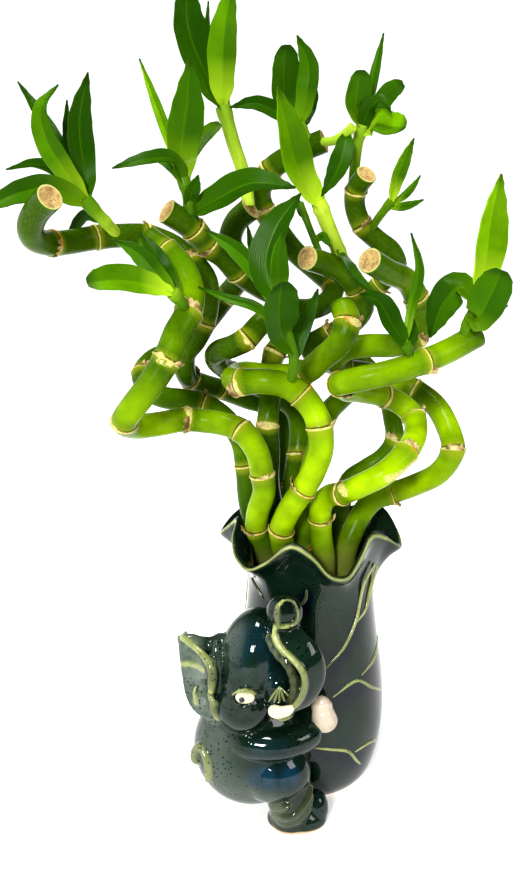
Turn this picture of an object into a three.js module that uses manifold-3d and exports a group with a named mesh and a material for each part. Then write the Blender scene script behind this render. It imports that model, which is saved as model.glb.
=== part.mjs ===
// Ten spiral lucky bamboo stalks with leafy shoots, standing in a wavy-rimmed
// glazed vase that a sitting elephant hugs. Millimetres, +Z up, the viewer's side is -Y.
// The origin is the middle of the vase's flat base, on the surface it stands on.
import * as THREE from 'three'
import { mergeVertices } from 'three/addons/utils/BufferGeometryUtils.js'
import Module from 'manifold-3d'

const wasm = await Module()
wasm.setup()

// Driving sizes, mm
const clearance = 0.3
const potWall = 3.4
const floorTop = 7
const neckRadius = 36
const neckHeight = 115
const potSteps = 36
const waterTop = 100
const stalkSides = 7
const stemSides = 5
const ringBulge = 1.09
const ringHalfWidth = 1.3
const bladeThickness = 0.7
const ringRoom = 0.02
const longestStep = 45
const mostBend = 0.5
const lineSteps = 400
const mergeDistance = 0.02

// Looks of the materials
const glaze = new THREE.MeshStandardMaterial({ color: 0x16302a, roughness: 0.12, metalness: 0 })
const clearWater = new THREE.MeshStandardMaterial({ color: 0xcfe0d8, roughness: 0.05, metalness: 0 })
const stalkGreen = new THREE.MeshStandardMaterial({ color: 0x7fa81e, roughness: 0.35, metalness: 0 })
const leafGreen = new THREE.MeshStandardMaterial({ color: 0x2f7a1c, roughness: 0.4, metalness: 0 })

// Outer wall of the vase up to its neck: [radius, height]
const outerWall = [
  [0, 0], [30.6, 0], [33, 2], [37, 8], [40.3, 18], [42.4, 31], [43.2, 48],
  [41.8, 68], [38.6, 90], [neckRadius, neckHeight],
]

// Inner wall from the neck down to the middle of the floor
const innerWall = [
  [neckRadius - potWall, neckHeight], [35.0, 90], [38.6, 66], [39.5, 46], [38.4, 30], [36, 16],
  [33.6, 9.6], [31, floorTop], [0, floorTop],
]

// The wavy rim, counter-clockwise from the right: crests and troughs of the top edge
const rimPoints = [
  [51, -5, 139], [51, 13, 144], [44, 31, 151], [25, 45, 146], [5, 49, 140], [-15, 46, 147],
  [-32, 37, 152], [-45, 24, 149], [-53, 8, 143], [-48, -3, 150], [-43, -11, 156], [-45, -21, 149],
  [-43, -31, 142], [-36, -41, 139], [-27, -45, 144], [-14, -48, 154], [-3, -47, 148], [8, -44, 136],
  [17, -40, 134], [25, -32, 142], [32, -23, 151], [41, -14, 147],
]
const lipSlope = 0.16

// Veins of the big leaf that the vase is shaped as: [turn in degrees, height] along each
const potVeins = [
  [[-29, 136], [-44, 127], [-46, 116], [-53, 105], [-66, 93], [-82, 83]],
  [[-24, 134], [-31, 120], [-38, 110], [-52, 105]],
  [[-12, 88], [-31, 80], [-50, 75]],
  [[-16, 54], [-40, 66], [-57, 73], [-77, 67]],
  [[-96, 39], [-79, 37], [-63, 33], [-34, 11]],
  [[-18, 25], [-41, 32], [-57, 31]],
  [[-97, 128], [-98, 122], [-104, 117]],
  [[-154, 126], [-145, 121], [-138, 116]],
  [[40, 126], [52, 96], [70, 60], [84, 28]],
  [[54, 92], [36, 76], [18, 70]],
  [[66, 64], [46, 48], [26, 42]],
  [[96, 124], [106, 92], [124, 58], [140, 30]],
  [[106, 92], [90, 74]],
  [[120, 62], [104, 46]],
  [[160, 126], [168, 96], [178, 66]],
]

// The elephant's ear between its front and back edges, and the lines of its limbs
const earFront = [[-70.3, -50, 107.2], [-61, -56, 103], [-55.6, -60, 98.4], [-53.4, -62, 92],
  [-53.8, -61.5, 81], [-52.8, -61, 71.8], [-50.8, -60.5, 66]]
const earBack = [[-71, -48.5, 106.2], [-71.6, -46.5, 99], [-71.4, -46, 92], [-70, -46, 83],
  [-69, -46.5, 74], [-62.4, -50, 63.5], [-52, -57.5, 62.8]]
const earTop = [[-69.5, -49, 107.2], [-63.4, -49, 105.6], [-57.7, -48.5, 102.4], [-50, -47, 101],
  [-44, -45, 103]]
const earCup = 5
const earThickness = 3.2
const trunkLine = [[-15, -66, 82.5], [-8, -68, 83.5], [-3.5, -68.5, 89], [-3, -68, 97],
  [-7, -67, 105], [-13, -65, 112], [-16, -63.5, 119], [-17, -62, 126]]
const trunkRadii = [6, 6.5, 7, 7.4, 7.6, 7.2, 6.8, 6.4]
const tailLine = [[-59, -50, 36.5], [-63.4, -53.4, 38], [-64, -53.6, 42], [-62.4, -54, 45.6],
  [-59.8, -56, 46.4], [-57, -59.5, 40], [-57, -57.5, 28]]
const tuskLine = [[-26.6, -73, 79.4], [-21.5, -75.5, 79.1], [-16.5, -76.3, 79.8], [-11, -75.5, 82.4]]
const armLine = [[-46, -52, 54], [-34, -60, 52.5], [-20, -62, 52.5], [-8, -58, 53.5], [1, -51, 55]]

// The stalks. Each stands on the vase floor at foot [x, y] and follows its knots;
// rings lists the knots that carry a raised node ring, radius is at the foot and at the tip.
const stalks = {
  stalk_01: {
    foot: [-23, 4], radius: [6.0, 6.4], rings: [1, 4, 8, 10, 13, 15],
    knots: [[-35, 0, 163], [-37, 0, 186], [-40, 2, 200], [-49, 4, 212], [-60, 5, 219], [-72, 3, 222],
      [-82, 0, 224], [-90, -1, 229], [-93, 6, 236], [-89, 14, 242], [-80, 21, 246], [-69, 28, 252],
      [-58, 32, 264], [-48, 30, 277], [-41, 23, 286], [-39, 14, 295], [-45, 9, 306], [-42, 5, 316],
      [-34, 0, 323]],
  },
  stalk_02: {
    foot: [-20, -11], radius: [5.8, 6.8], rings: [1, 4, 6, 9, 12, 15, 17, 20],
    knots: [[-27, -18, 146], [-31, -23, 157], [-30, -27, 168], [-27, -30, 179], [-28, -32, 189],
      [-31, -33, 202], [-39, -31, 212], [-49, -28, 215], [-59, -26, 216], [-67, -27, 217],
      [-80, -34, 216], [-91, -45, 217], [-94, -57, 222], [-88, -64, 231], [-80, -64, 241],
      [-73, -62, 252], [-68, -58, 264], [-63, -52, 273], [-62, -46, 283], [-67, -42, 294],
      [-75, -38, 301], [-84, -34, 307]],
  },
  stalk_03: {
    foot: [-9, -21], radius: [6.4, 6.6], rings: [1, 3, 6, 8, 11, 15, 18],
    knots: [[-17, -25, 148], [-18, -29, 158], [-14, -33, 170], [-7, -38, 183], [-2, -44, 195],
      [1, -46, 206], [0, -46, 217], [-3, -44, 225], [-9, -42, 232], [-17, -42, 237], [-28, -42, 239],
      [-38, -37, 238], [-43, -25, 238], [-37, -14, 239], [-22, -11, 237], [-6, -18, 240],
      [3, -28, 249], [11, -34, 258], [14, -32, 267], [12, -25, 275]],
  },
  stalk_04: {
    foot: [6, -22], radius: [6.0, 6.1], rings: [2, 5, 8, 10, 12, 15, 18],
    knots: [[6, -20, 138], [4, -22, 150], [3, -24, 162], [3, -27, 171], [7, -33, 178], [13, -42, 182],
      [21, -52, 189], [32, -54, 196], [43, -46, 204], [50, -32, 210], [51, -20, 217], [45, -16, 223],
      [35, -20, 228], [22, -30, 232], [13, -42, 235], [9, -52, 239], [13, -61, 242], [29, -64, 246],
      [48, -58, 251], [60, -52, 255], [75, -46, 262]],
  },
  stalk_05: {
    foot: [17, -12], radius: [6.3, 6.4], rings: [4, 7, 10, 13, 18, 20],
    knots: [[18, -10, 135], [21, -8, 146], [27, -4, 158], [35, 0, 166], [45, 2, 169], [57, -2, 175],
      [68, -12, 185], [73, -18, 199], [71, -8, 211], [66, 4, 220], [57, 12, 226], [44, 14, 232],
      [28, 10, 236], [16, 3, 239], [11, -5, 245], [16, -10, 251], [28, -10, 253], [43, -6, 253],
      [54, -3, 257], [55, -4, 266], [52, -8, 278], [45, -16, 287], [35, -26, 291], [23, -40, 297]],
  },
  stalk_06: {
    foot: [-10, 3], radius: [5.8, 6.2], rings: [2, 5, 7, 11, 16, 20, 22],
    knots: [[-10, 3, 160], [-10, 4, 178], [-8, 5, 191], [-7, 9, 203], [-9, 15, 213], [-18, 22, 220],
      [-34, 24, 228], [-46, 14, 236], [-53, -2, 245], [-50, -16, 251], [-43, -22, 254],
      [-36, -24, 258], [-28, -20, 266], [-16, -10, 271], [-1, 6, 271], [9, 19, 275], [12, 29, 282],
      [4, 36, 290], [-9, 36, 301], [-19, 32, 313], [-27, 28, 324], [-29, 24, 333], [-23, 16, 344],
      [-9, 10, 352], [4, 6, 357]],
  },
  stalk_07: {
    foot: [-16, 15], radius: [5.9, 6.2], rings: [3, 7, 12, 14, 15],
    knots: [[-22, 11, 160], [-24, 6, 176], [-24, -2, 195], [-25, -4, 209], [-24, -1, 220],
      [-23, 5, 230], [-23, 7, 239], [-21, 3, 248], [-15, 6, 255], [-9, 14, 263], [-14, 15, 274],
      [-28, 4, 282], [-41, -8, 291], [-48, -16, 299], [-55, -22, 304], [-62, -28, 312],
      [-74, -36, 320]],
  },
  stalk_08: {
    foot: [-3, 23], radius: [5.8, 6.2], rings: [1, 7, 9, 13, 16, 18, 20, 22],
    knots: [[-18, 24, 155], [-18, 24, 168], [-17, 24, 180], [-17, 26, 191], [-17, 31, 203],
      [-24, 38, 212], [-36, 38, 216], [-52, 27, 224], [-61, 20, 228], [-68, 13, 232], [-70, 3, 239],
      [-69, -3, 248], [-63, -8, 256], [-58, -12, 266], [-56, -14, 277], [-57, -12, 287],
      [-64, -8, 296], [-74, -4, 304], [-88, -6, 309], [-101, -12, 309], [-112, -16, 308],
      [-122, -24, 306], [-130, -34, 305], [-135, -46, 307], [-134, -56, 312], [-129, -64, 318],
      [-120, -74, 324]],
  },
  stalk_09: {
    foot: [16, 12], radius: [5.4, 5.5], rings: [5, 10, 13, 17, 19],
    knots: [[17, 14, 149], [19, 16, 161], [23, 20, 172], [33, 24, 178], [43, 24, 185], [49, 24, 195],
      [48, 28, 206], [46, 36, 217], [38, 42, 231], [27, 42, 242], [20, 37, 251], [21, 30, 262],
      [27, 28, 272], [38, 28, 283], [46, 20, 292], [42, 12, 301], [32, 6, 308], [24, 2, 315],
      [20, 0, 324], [20, -4, 332], [24, -12, 339]],
  },
  stalk_10: {
    foot: [-2, -10], radius: [5.9, 6.2], rings: [0, 5, 8, 11, 13, 16],
    knots: [[-5, -10, 142], [-5, -11, 154], [-5, -11, 166], [-3, -11, 180], [0, -10, 192],
      [4, -6, 206], [9, 4, 215], [16, 14, 220], [22, 20, 225], [22, 25, 231], [14, 24, 238],
      [2, 16, 244], [-1, 10, 251], [9, 8, 257], [20, 6, 263], [26, 3, 272], [22, 0, 282],
      [13, -6, 291], [4, -14, 295], [-6, -26, 298]],
  },
}

// How full a leaf blade is from its foot to its tip, pointed or blunt
const bladeShape = [[0, 0.34], [0.2, 0.84], [0.48, 1], [0.78, 0.62], [1, 0.1]]
const bluntShape = [[0, 0.42], [0.25, 0.85], [0.5, 1], [0.85, 0.9], [1, 0.35]]

// The leafy shoots. Each grows out of the named stalk: stem is its middle line, and every
// leaf is [width, how far along the stem it starts, [..., tip], shape if not pointed], its
// blade turned to the viewer.
const shoots = {
  shoot_far_left: {
    on: 'stalk_08', radius: 2.9,
    stem: [[-101, -14, 309], [-105, -24, 315], [-110, -28, 321], [-114, -30, 326]],
    leaves: [
      [12.5, 0.95, [[-114, -27, 340], [-115, -29, 360], [-109, -34, 382]]],
      [11, 0.90, [[-121, -36, 338], [-128.5, -40, 352], [-129.5, -43, 365], [-121, -44, 375]]],
      [9, 0.84, [[-125, -18, 345], [-136, -15, 365], [-147, -14, 382]]],
      [6, 0.80, [[-121, -20, 345], [-123, -20, 359], [-122, -22, 372]]],
      [12, 0.87, [[-127, -42, 330], [-141, -56, 326], [-153, -66, 318]]],
      [9, 0.76, [[-127, -16, 338], [-141, -10, 344], [-158, -6, 342]]],
      [6, 0.46, [[-115, -18, 319], [-121, -12, 316], [-129, -6, 307]]],
    ],
  },
  shoot_left_low: {
    on: 'stalk_02', radius: 2.6,
    stem: [[-64, -56, 275], [-66, -62, 279], [-69, -65, 283]],
    leaves: [
      [14, 0.92, [[-80, -70, 287], [-92, -76, 289], [-104, -82, 288]], bluntShape],
      [9, 0.87, [[-77, -60, 292], [-86, -57, 301], [-96, -55, 306]]],
      [9.5, 0.79, [[-74, -56, 292], [-79, -54, 302], [-85, -52, 310]]],
    ],
  },
  shoot_left_tall: {
    on: 'stalk_07', radius: 2.6,
    stem: [[-60, -30, 313], [-63, -33, 321], [-64, -33, 328], [-66, -32, 335]],
    leaves: [
      [17, 0.95, [[-66.5, -32, 348], [-63.5, -35, 366], [-61, -40, 387]]],
      [5, 0.91, [[-72, -27, 351], [-79, -23, 370], [-87, -20, 391]]],
      [8.5, 0.84, [[-70, -40, 343], [-80, -48, 342.5], [-96, -54, 338]]],
      [5, 0.88, [[-72, -28, 341], [-78, -26, 345], [-86, -26, 347]]],
      [8, 0.98, [[-62, -22, 349], [-56, -16, 357], [-49, -12, 363]], bluntShape],
      [7, 0.45, [[-62, -38, 327], [-60, -40, 331], [-58, -40, 336]]],
      [17, 0.28, [[-50, -40, 325], [-33, -46, 332], [-13, -48, 330]]],
    ],
  },
  shoot_top_left: {
    on: 'stalk_01', radius: 3.3,
    stem: [[-35, 2, 324], [-37, 4, 338], [-43, 2, 356], [-48, 0, 373]],
    leaves: [
      [21, 0.94, [[-56, -1, 387], [-64.5, -3, 409], [-64.5, -6, 432]]],
      [15, 0.98, [[-48, -5, 389], [-46, -10, 409], [-42, -14, 427]]],
      [5, 0.90, [[-53, 6, 389], [-56, 8, 406], [-55, 9, 424]]],
    ],
  },
  shoot_centre_tall: {
    on: 'stalk_10', radius: 3.6,
    stem: [[16, -2, 291], [11, -8, 302], [6, -12, 312], [0, -17, 325]],
    leaves: [
      [18.5, 0.90, [[-10, -22, 339], [-16, -30, 357], [-21, -38, 375]]],
      [9, 0.32, [[13, -30, 296], [16, -49, 289], [26, -58, 280]]],
    ],
  },
  shoot_top_middle: {
    on: 'stalk_06', radius: 2.4,
    stem: [[-2, 6, 354], [-6, 5, 360], [-9, 4, 365]],
    leaves: [
      [16, 0.90, [[-16, 9, 376], [-17, 4, 390], [-16.5, -2, 401]], bluntShape],
      [11, 0.95, [[-6, 0, 378], [-5, -1, 392], [-11, -4, 405]]],
      [8, 0.84, [[-4, 11, 375], [-2, 13, 382], [-4, 14, 390]]],
      [9, 0.77, [[-18, 2, 369], [-31, -1, 374], [-44, -4, 372]]],
    ],
  },
  shoot_top_drooping: {
    on: 'stalk_06', radius: 2.2,
    stem: [[3, 2, 356], [8, -2, 356], [14, -5, 359], [17, -8, 362]],
    leaves: [
      [10.5, 0.75, [[12, -13, 349], [8, -18, 339], [1, -20, 328]]],
    ],
  },
  shoot_top_right: {
    on: 'stalk_09', radius: 2.6,
    stem: [[19, 2, 336], [20, 4, 346], [21, 2, 356], [23, 0, 364]],
    leaves: [
      [14, 0.93, [[19, -3, 372], [19.5, -6, 381], [20, -9, 388]], bluntShape],
      [5, 0.97, [[26, 3, 376], [29, 2, 391], [32, 0, 407]]],
      [10, 0.89, [[31, 9, 373], [38, 12, 382], [45, 13, 386]], bluntShape],
      [15, 0.85, [[29, -5, 364], [35, -10, 362], [42, -15, 361]], bluntShape],
      [8, 0.81, [[26, -6, 372], [31, -10, 374], [35, -14, 368]]],
    ],
  },
  shoot_right_small: {
    on: 'stalk_09', radius: 2.0,
    stem: [[29, 0, 313], [32, -8, 319], [37, -13, 326]],
    leaves: [
      [7, 0.96, [[39, -14, 336], [42, -16, 345], [46, -19, 355]]],
      [4, 0.90, [[43, -9, 328], [48, -7, 333], [52, -6, 339]]],
      [4, 0.84, [[41, -16, 323], [46, -20, 324], [51, -22, 326]]],
    ],
  },
  shoot_right_inner: {
    on: 'stalk_04', radius: 2.3,
    stem: [[40, -61, 251], [39, -63, 256], [37, -64, 260]],
    leaves: [
      [12, 0.84, [[30, -67, 270], [24, -69, 279], [15, -72, 283]]],
      [4.5, 0.94, [[40, -61, 275], [43, -62, 293], [38, -65, 309]]],
      [5, 0.74, [[42, -57, 262], [42, -54, 268], [41, -52, 274]]],
    ],
  },
  shoot_far_right: {
    on: 'stalk_04', radius: 2.3,
    stem: [[67, -50, 259], [68, -52, 267], [71, -52, 274], [74, -52, 282]],
    leaves: [
      [17, 0.86, [[76, -52, 298], [77, -53, 317], [79, -57, 335]]],
      [17, 0.50, [[71, -60, 271], [75, -64, 281], [79, -66, 293]], bluntShape],
      [16, 0.72, [[66, -46, 285], [59, -42, 277], [53.5, -40, 260]]],
      [3, 0.36, [[78, -50, 271], [84, -46, 273], [90, -42, 276]]],
    ],
  },
  shoot_centre_front: {
    on: 'stalk_03', radius: 2.4,
    stem: [[-14, -47, 241], [-13, -53, 248], [-15, -58, 259], [-19, -61, 269], [-22, -62, 279]],
    leaves: [
      [9, 0.95, [[-21, -67, 289], [-21, -69, 300], [-19, -70, 310]]],
      [8.5, 0.91, [[-31, -56, 292], [-42, -50, 303], [-55, -45, 311]]],
      [18, 0.40, [[-19.5, -66, 264], [-21, -75, 276], [-20, -82, 288]], bluntShape],
      [7, 0.27, [[-9, -51, 265], [-5, -50, 275], [-2, -49, 284]]],
      [4.5, 0.62, [[-31, -59, 276], [-44, -57, 280], [-58, -54, 285]]],
      [7, 0.86, [[-28, -52, 293], [-33, -48, 303], [-35, -46, 313]]],
      [15.5, 0.98, [[-27, -58, 295], [-22, -56, 312], [-11, -54, 327]]],
    ],
  },
  shoot_centre_twig: {
    on: 'stalk_10', radius: 1.6,
    stem: [[2, -18, 298], [-2, -17, 307], [-6, -14, 317], [-9, -12, 325]],
    leaves: [
      [4, 0.30, [[2, -20, 309], [3, -24, 307], [5, -28, 304]]],
      [4, 0.75, [[-8, -12, 320], [-9, -8, 324], [-11, -4, 328]]],
    ],
  },
}

const vector = ([x, y, z]) => new THREE.Vector3(x, y, z)
const smoothCurve = (points) => new THREE.CatmullRomCurve3(points.map(vector), false, 'centripetal')

// A closed mesh of points and triangles, as a solid that can be joined and cut
function solidOf(geometry) {
  const bare = geometry.clone()
  bare.deleteAttribute('normal')
  bare.deleteAttribute('uv')
  const merged = mergeVertices(bare, 1e-4)
  return new wasm.Manifold(new wasm.Mesh({
    numProp: 3,
    vertProperties: new Float32Array(merged.attributes.position.array),
    triVerts: new Uint32Array(merged.index.array),
  }))
}

// Slivers thinner than mergeDistance are dropped, so that no two corners touch
function geometryOf(solid) {
  const mesh = solid.simplify(mergeDistance).getMesh()
  const geometry = new THREE.BufferGeometry()
  geometry.setAttribute('position', new THREE.BufferAttribute(new Float32Array(mesh.vertProperties), 3))
  geometry.setIndex(new THREE.BufferAttribute(new Uint32Array(mesh.triVerts), 1))
  return geometry
}

function joined(solids) {
  return solids.slice(1).reduce((whole, next) => whole.add(next), solids[0])
}

// Rows of points, each row a closed loop, skinned into a closed solid with flat ends
function skinned(rows) {
  const count = rows[0].length
  const positions = rows.flat().flatMap((point) => [point.x, point.y, point.z])
  const last = (rows.length - 1) * count
  const indices = []
  for (let row = 0; row < rows.length - 1; row += 1) {
    for (let step = 0; step < count; step += 1) {
      const here = row * count + step
      const next = row * count + (step + 1) % count
      indices.push(here, next, next + count, here, next + count, here + count)
    }
  }
  for (let step = 1; step < count - 1; step += 1) {
    indices.push(0, step + 1, step)
    indices.push(last, last + step, last + step + 1)
  }
  const geometry = new THREE.BufferGeometry()
  geometry.setAttribute('position', new THREE.Float32BufferAttribute(positions, 3))
  geometry.setIndex(indices)
  return geometry
}

// Frames carried along a curve without twisting: point, tangent and two square directions
function framesAlong(curve, stops) {
  const frames = []
  let side = null
  for (const stop of stops) {
    const tangent = curve.getTangentAt(stop).normalize()
    if (side === null) {
      const guess = Math.abs(tangent.x) < 0.9 ? new THREE.Vector3(1, 0, 0) : new THREE.Vector3(0, 1, 0)
      side = guess
    }
    side = side.clone().addScaledVector(tangent, -side.dot(tangent)).normalize()
    const over = new THREE.Vector3().crossVectors(tangent, side)
    frames.push({ point: curve.getPointAt(stop), tangent, side, over })
  }
  return frames
}

function roundRow({ point, side, over }, radius, sides) {
  return Array.from({ length: sides }, (unused, step) => {
    const turn = (2 * Math.PI * step) / sides
    return point.clone()
      .addScaledVector(side, radius * Math.cos(turn))
      .addScaledVector(over, radius * Math.sin(turn))
  })
}

// A round rod along a curve; radii gives its radius at each stop
function rod(curve, stops, radii, sides) {
  const frames = framesAlong(curve, stops)
  return skinned(frames.map((frame, index) => roundRow(frame, radii[index], sides)))
}

function taperedRod(points, firstRadius, lastRadius, steps, sides) {
  const stops = Array.from({ length: steps + 1 }, (unused, step) => step / steps)
  const radii = stops.map((stop) => firstRadius + (lastRadius - firstRadius) * stop)
  return rod(smoothCurve(points), stops, radii, sides)
}

function ball(centre, radii, turns, rings) {
  const geometry = new THREE.SphereGeometry(1, turns, rings)
  geometry.rotateX(Math.PI / 2)
  geometry.scale(...radii)
  geometry.translate(...centre)
  return solidOf(geometry)
}

// Stalks
function stalkPoints({ foot: [x, y], knots }) {
  return [[0.97 * x, 0.97 * y, floorTop + clearance], [x, y, 60], [x, y, 117], ...knots]
}

// Stops along a stalk: close together where it bends, and three at each node ring
function stalkStops(stalk, curve) {
  const length = curve.getLength()
  const points = stalkPoints(stalk).map(vector)
  const fine = curve.getSpacedPoints(lineSteps)
  const nearestStop = (point) => {
    const gaps = fine.map((candidate) => candidate.distanceTo(point))
    return gaps.indexOf(Math.min(...gaps)) / lineSteps
  }
  const ringStops = stalk.rings.map((ring) => nearestStop(points[ring + 3]))
  const keep = ringStops.flatMap((stop) => [
    { stop: stop - ringHalfWidth / length, swell: 1 },
    { stop, swell: ringBulge },
    { stop: stop + ringHalfWidth / length, swell: 1 },
  ])
  let lastStop = 0
  let lastTangent = curve.getTangentAt(0)
  keep.push({ stop: 0, swell: 1 }, { stop: 1, swell: 1 })
  for (let step = 1; step < lineSteps; step += 1) {
    const stop = step / lineSteps
    const tangent = curve.getTangentAt(stop)
    const bend = tangent.angleTo(lastTangent)
    const farEnough = (stop - lastStop) * length > longestStep || bend > mostBend
    const clearOfRings = ringStops.every((ring) => Math.abs(ring - stop) > ringRoom)
    if (farEnough && clearOfRings && stop < 1 - ringRoom) {
      keep.push({ stop, swell: 1 })
      lastStop = stop
      lastTangent = tangent
    }
  }
  return keep.sort((a, b) => a.stop - b.stop)
}

function stalkGeometry(stalk, extra = 0) {
  const curve = smoothCurve(stalkPoints(stalk))
  curve.arcLengthDivisions = 600
  const stops = stalkStops(stalk, curve)
  const [first, last] = stalk.radius
  const radii = stops.map(({ stop, swell }) => (first + (last - first) * stop) * swell + extra)
  return rod(curve, stops.map(({ stop }) => stop), radii, stalkSides)
}

// Leaves
const bladeFold = 0.16
const mostRoll = 0.4
const towardViewer = new THREE.Vector3(0.15, -1, 0.4).normalize()

// A folded blade: each row runs left edge, rib, right edge on top and back underneath
function bladeGeometry(width, base, points, shape, roll) {
  const curve = new THREE.CatmullRomCurve3([base, ...points.map(vector)], false, 'centripetal')
  const rows = shape.map(([stop, fullness]) => {
    const tangent = curve.getTangentAt(stop).normalize()
    const facing = towardViewer.clone().addScaledVector(tangent, -towardViewer.dot(tangent)).normalize()
      .applyAxisAngle(tangent, roll)
    const across = new THREE.Vector3().crossVectors(tangent, facing)
    const half = (width * fullness) / 2
    const rib = curve.getPointAt(stop)
    const edge = (sign) => rib.clone().addScaledVector(across, sign * half)
      .addScaledVector(facing, 2 * half * bladeFold)
    const under = (point) => point.clone().addScaledVector(facing, -bladeThickness)
    const top = [edge(-1), rib.clone(), edge(1)]
    return [...top, ...top.map(under).reverse()]
  })
  return skinned(rows)
}

function shootSolid(shoot) {
  const steps = shoot.stem.length > 3 ? 4 : 3
  const stem = solidOf(taperedRod(shoot.stem, shoot.radius, 0.7 * shoot.radius, steps, stemSides))
  const stemLine = smoothCurve(shoot.stem)
  const blades = shoot.leaves.map(([width, start, points, shape = bladeShape], index) => {
    const roll = mostRoll * Math.sin(2.4 * (index + 1))
    return solidOf(bladeGeometry(width, stemLine.getPointAt(start), points, shape, roll))
  })
  const bodies = joined([stem, ...blades])
    .subtract(solidOf(stalkGeometry(stalks[shoot.on], clearance)))
    .decompose()
  return bodies.reduce((largest, body) => (body.volume() > largest.volume() ? body : largest))
}

// The vase
function rimSpan(column) {
  const rim = new THREE.CatmullRomCurve3(rimPoints.map(vector), true, 'centripetal')
  const edge = rim.getPoint(column / potSteps)
  return { edge, turn: Math.atan2(edge.y, edge.x), reach: Math.hypot(edge.x, edge.y) }
}

// Lip of the vase, from its neck to the rim edge: [share of the way out, share of the way up]
const lipShape = [[0.08, 0.28], [0.26, 0.55], [0.56, 0.8], [0.9, 0.97]]

function potGeometry() {
  const spans = Array.from({ length: potSteps }, (unused, column) => rimSpan(column))
  const at = (turn, radius, height) => new THREE.Vector3(
    radius * Math.cos(turn), radius * Math.sin(turn), height)
  const lipRow = ([out, up], inward, raise) => spans.map(({ edge, turn, reach }) => at(
    turn,
    neckRadius + (reach - neckRadius) * out - inward,
    neckHeight + (edge.z - neckHeight) * up + raise))
  const ring = ([radius, height]) => spans.map(({ turn }) => at(turn, radius, height))
  const rows = [
    ...outerWall.slice(1).map(ring),
    ...lipShape.map((share) => lipRow(share, 0, 0)),
    lipRow([1, 1.02], 0.6, 0.4),
    lipRow([0.97, 1.07], 2.0, 0.4),
    lipRow(lipShape[3], potWall - 0.6, 2.2),
    lipRow(lipShape[2], potWall - 0.2, 1.6),
    lipRow(lipShape[1], potWall, 0.8),
    lipRow(lipShape[0], potWall, 0.2),
    ...innerWall.slice(0, -1).map(ring),
  ]
  return skinned(rows)
}

function wallRadius(height) {
  const above = outerWall.findIndex(([, top]) => top > height)
  if (above < 0) {
    return neckRadius + (height - neckHeight) * lipSlope
  }
  const [r0, z0] = outerWall[above - 1]
  const [r1, z1] = outerWall[above]
  return r0 + ((r1 - r0) * (height - z0)) / (z1 - z0)
}

function veinSolid(path) {
  const points = path.map(([degrees, height]) => {
    const turn = THREE.MathUtils.degToRad(degrees)
    const radius = wallRadius(height) - 0.3
    return [radius * Math.cos(turn), radius * Math.sin(turn), height]
  })
  return solidOf(taperedRod(points, 1.5, 1.1, path.length - 1, 4))
}

// The elephant, as soft balls and rods that run into each other
function elephantSolids() {
  const body = ball([-33.5, -42, 41], [31.5, 24.5, 33.5], 13, 8)
  const shoulders = ball([-38, -44, 62], [20, 18, 16], 8, 5)
  const head = ball([-33, -46, 91], [19.6, 22, 30], 12, 7)
  const cheek = ball([-37.5, -57, 72.6], [14.5, 14, 14], 10, 6)
  const thigh = ball([-21.5, -53.5, 32], [19.5, 15.5, 16.5], 11, 6)
  const leg = solidOf(taperedRod([[-14, -52, 36], [-13, -53.5, 20], [-13, -52.5, -4]], 11.5, 11.5, 3, 8))
  const foot = ball([-9.2, -52.4, 3], [16.2, 10.6, 8.5], 10, 6)
  const toes = ball([1, -51, 8], [7, 7.5, 10], 8, 6)
  const arm = solidOf(taperedRod(armLine, 8.5, 7.2, 5, 8))
  const paw = solidOf(taperedRod([[8.4, -46, 50], [5.4, -46.6, 60.6], [2.6, -47, 71]], 6.4, 3.8, 2, 6))
  const eye = ball([-36.7, -68.6, 83.4], [4.9, 2.4, 3.5], 8, 4)
  const tusk = solidOf(taperedRod(tuskLine, 3.5, 2.8, 3, 7))
  const chin = ball([-19, -62, 77], [8, 9.5, 5], 8, 5)
  const tail = solidOf(taperedRod(tailLine, 2.2, 1.8, 7, 5))
  const farEar = ball([-44, -26, 80], [13, 6, 16], 8, 6)
  return [body, shoulders, head, cheek, thigh, leg, foot, toes, arm, paw, eye, tusk, chin, tail,
    farEar, ...trunkSolids(), ...earSolids()]
}

function trunkSolids() {
  const stops = trunkRadii.map((unused, index) => index / (trunkRadii.length - 1))
  const trunk = solidOf(rod(smoothCurve(trunkLine), stops, trunkRadii, 8))
  const root = ball([-20, -60, 86], [9, 9.5, 10], 8, 5)
  const tip = ball([-17, -62, 126], [9.2, 7.4, 9.6], 8, 6)
  return [trunk, root, tip]
}

// The near ear, a cupped plate that hangs from its rim, and the flesh that joins it to the head
function earSolids() {
  const outward = new THREE.Vector3(0.3, 1, 0)
  const skin = outward.clone().multiplyScalar(earThickness / 2)
  const rows = earFront.map((place, index) => {
    const front = vector(place)
    const back = vector(earBack[index])
    const middle = front.clone().lerp(back, 0.5).addScaledVector(outward, earCup)
    const line = [front, middle, back]
    return [...line.map((point) => point.clone().sub(skin)),
      ...line.map((point) => point.clone().add(skin)).reverse()]
  })
  const plate = solidOf(skinned(rows))
  const root = ball([-51.5, -54, 90], [4.5, 6, 17], 6, 5)
  const top = solidOf(taperedRod(earTop, 1.6, 8, 4, 6))
  return [plate, root, top]
}

// The hollow with half the wall, cut out of everything that is moulded on outside
function hollowSolid() {
  const outline = [...innerWall].reverse().map(([radius, height]) => new THREE.Vector2(
    radius && radius + potWall / 2, height - potWall / 2))
  outline.push(new THREE.Vector2(neckRadius - potWall / 2, 170), new THREE.Vector2(0, 170))
  return solidOf(new THREE.LatheGeometry(outline, 20).rotateX(Math.PI / 2))
}

function vaseSolid() {
  const under = solidOf(new THREE.BoxGeometry(400, 400, 40).translate(0, 0, -20))
  const moulded = joined([...elephantSolids(), ...potVeins.map(veinSolid)])
    .subtract(hollowSolid())
    .subtract(under)
  return solidOf(potGeometry()).add(moulded)
}

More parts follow.
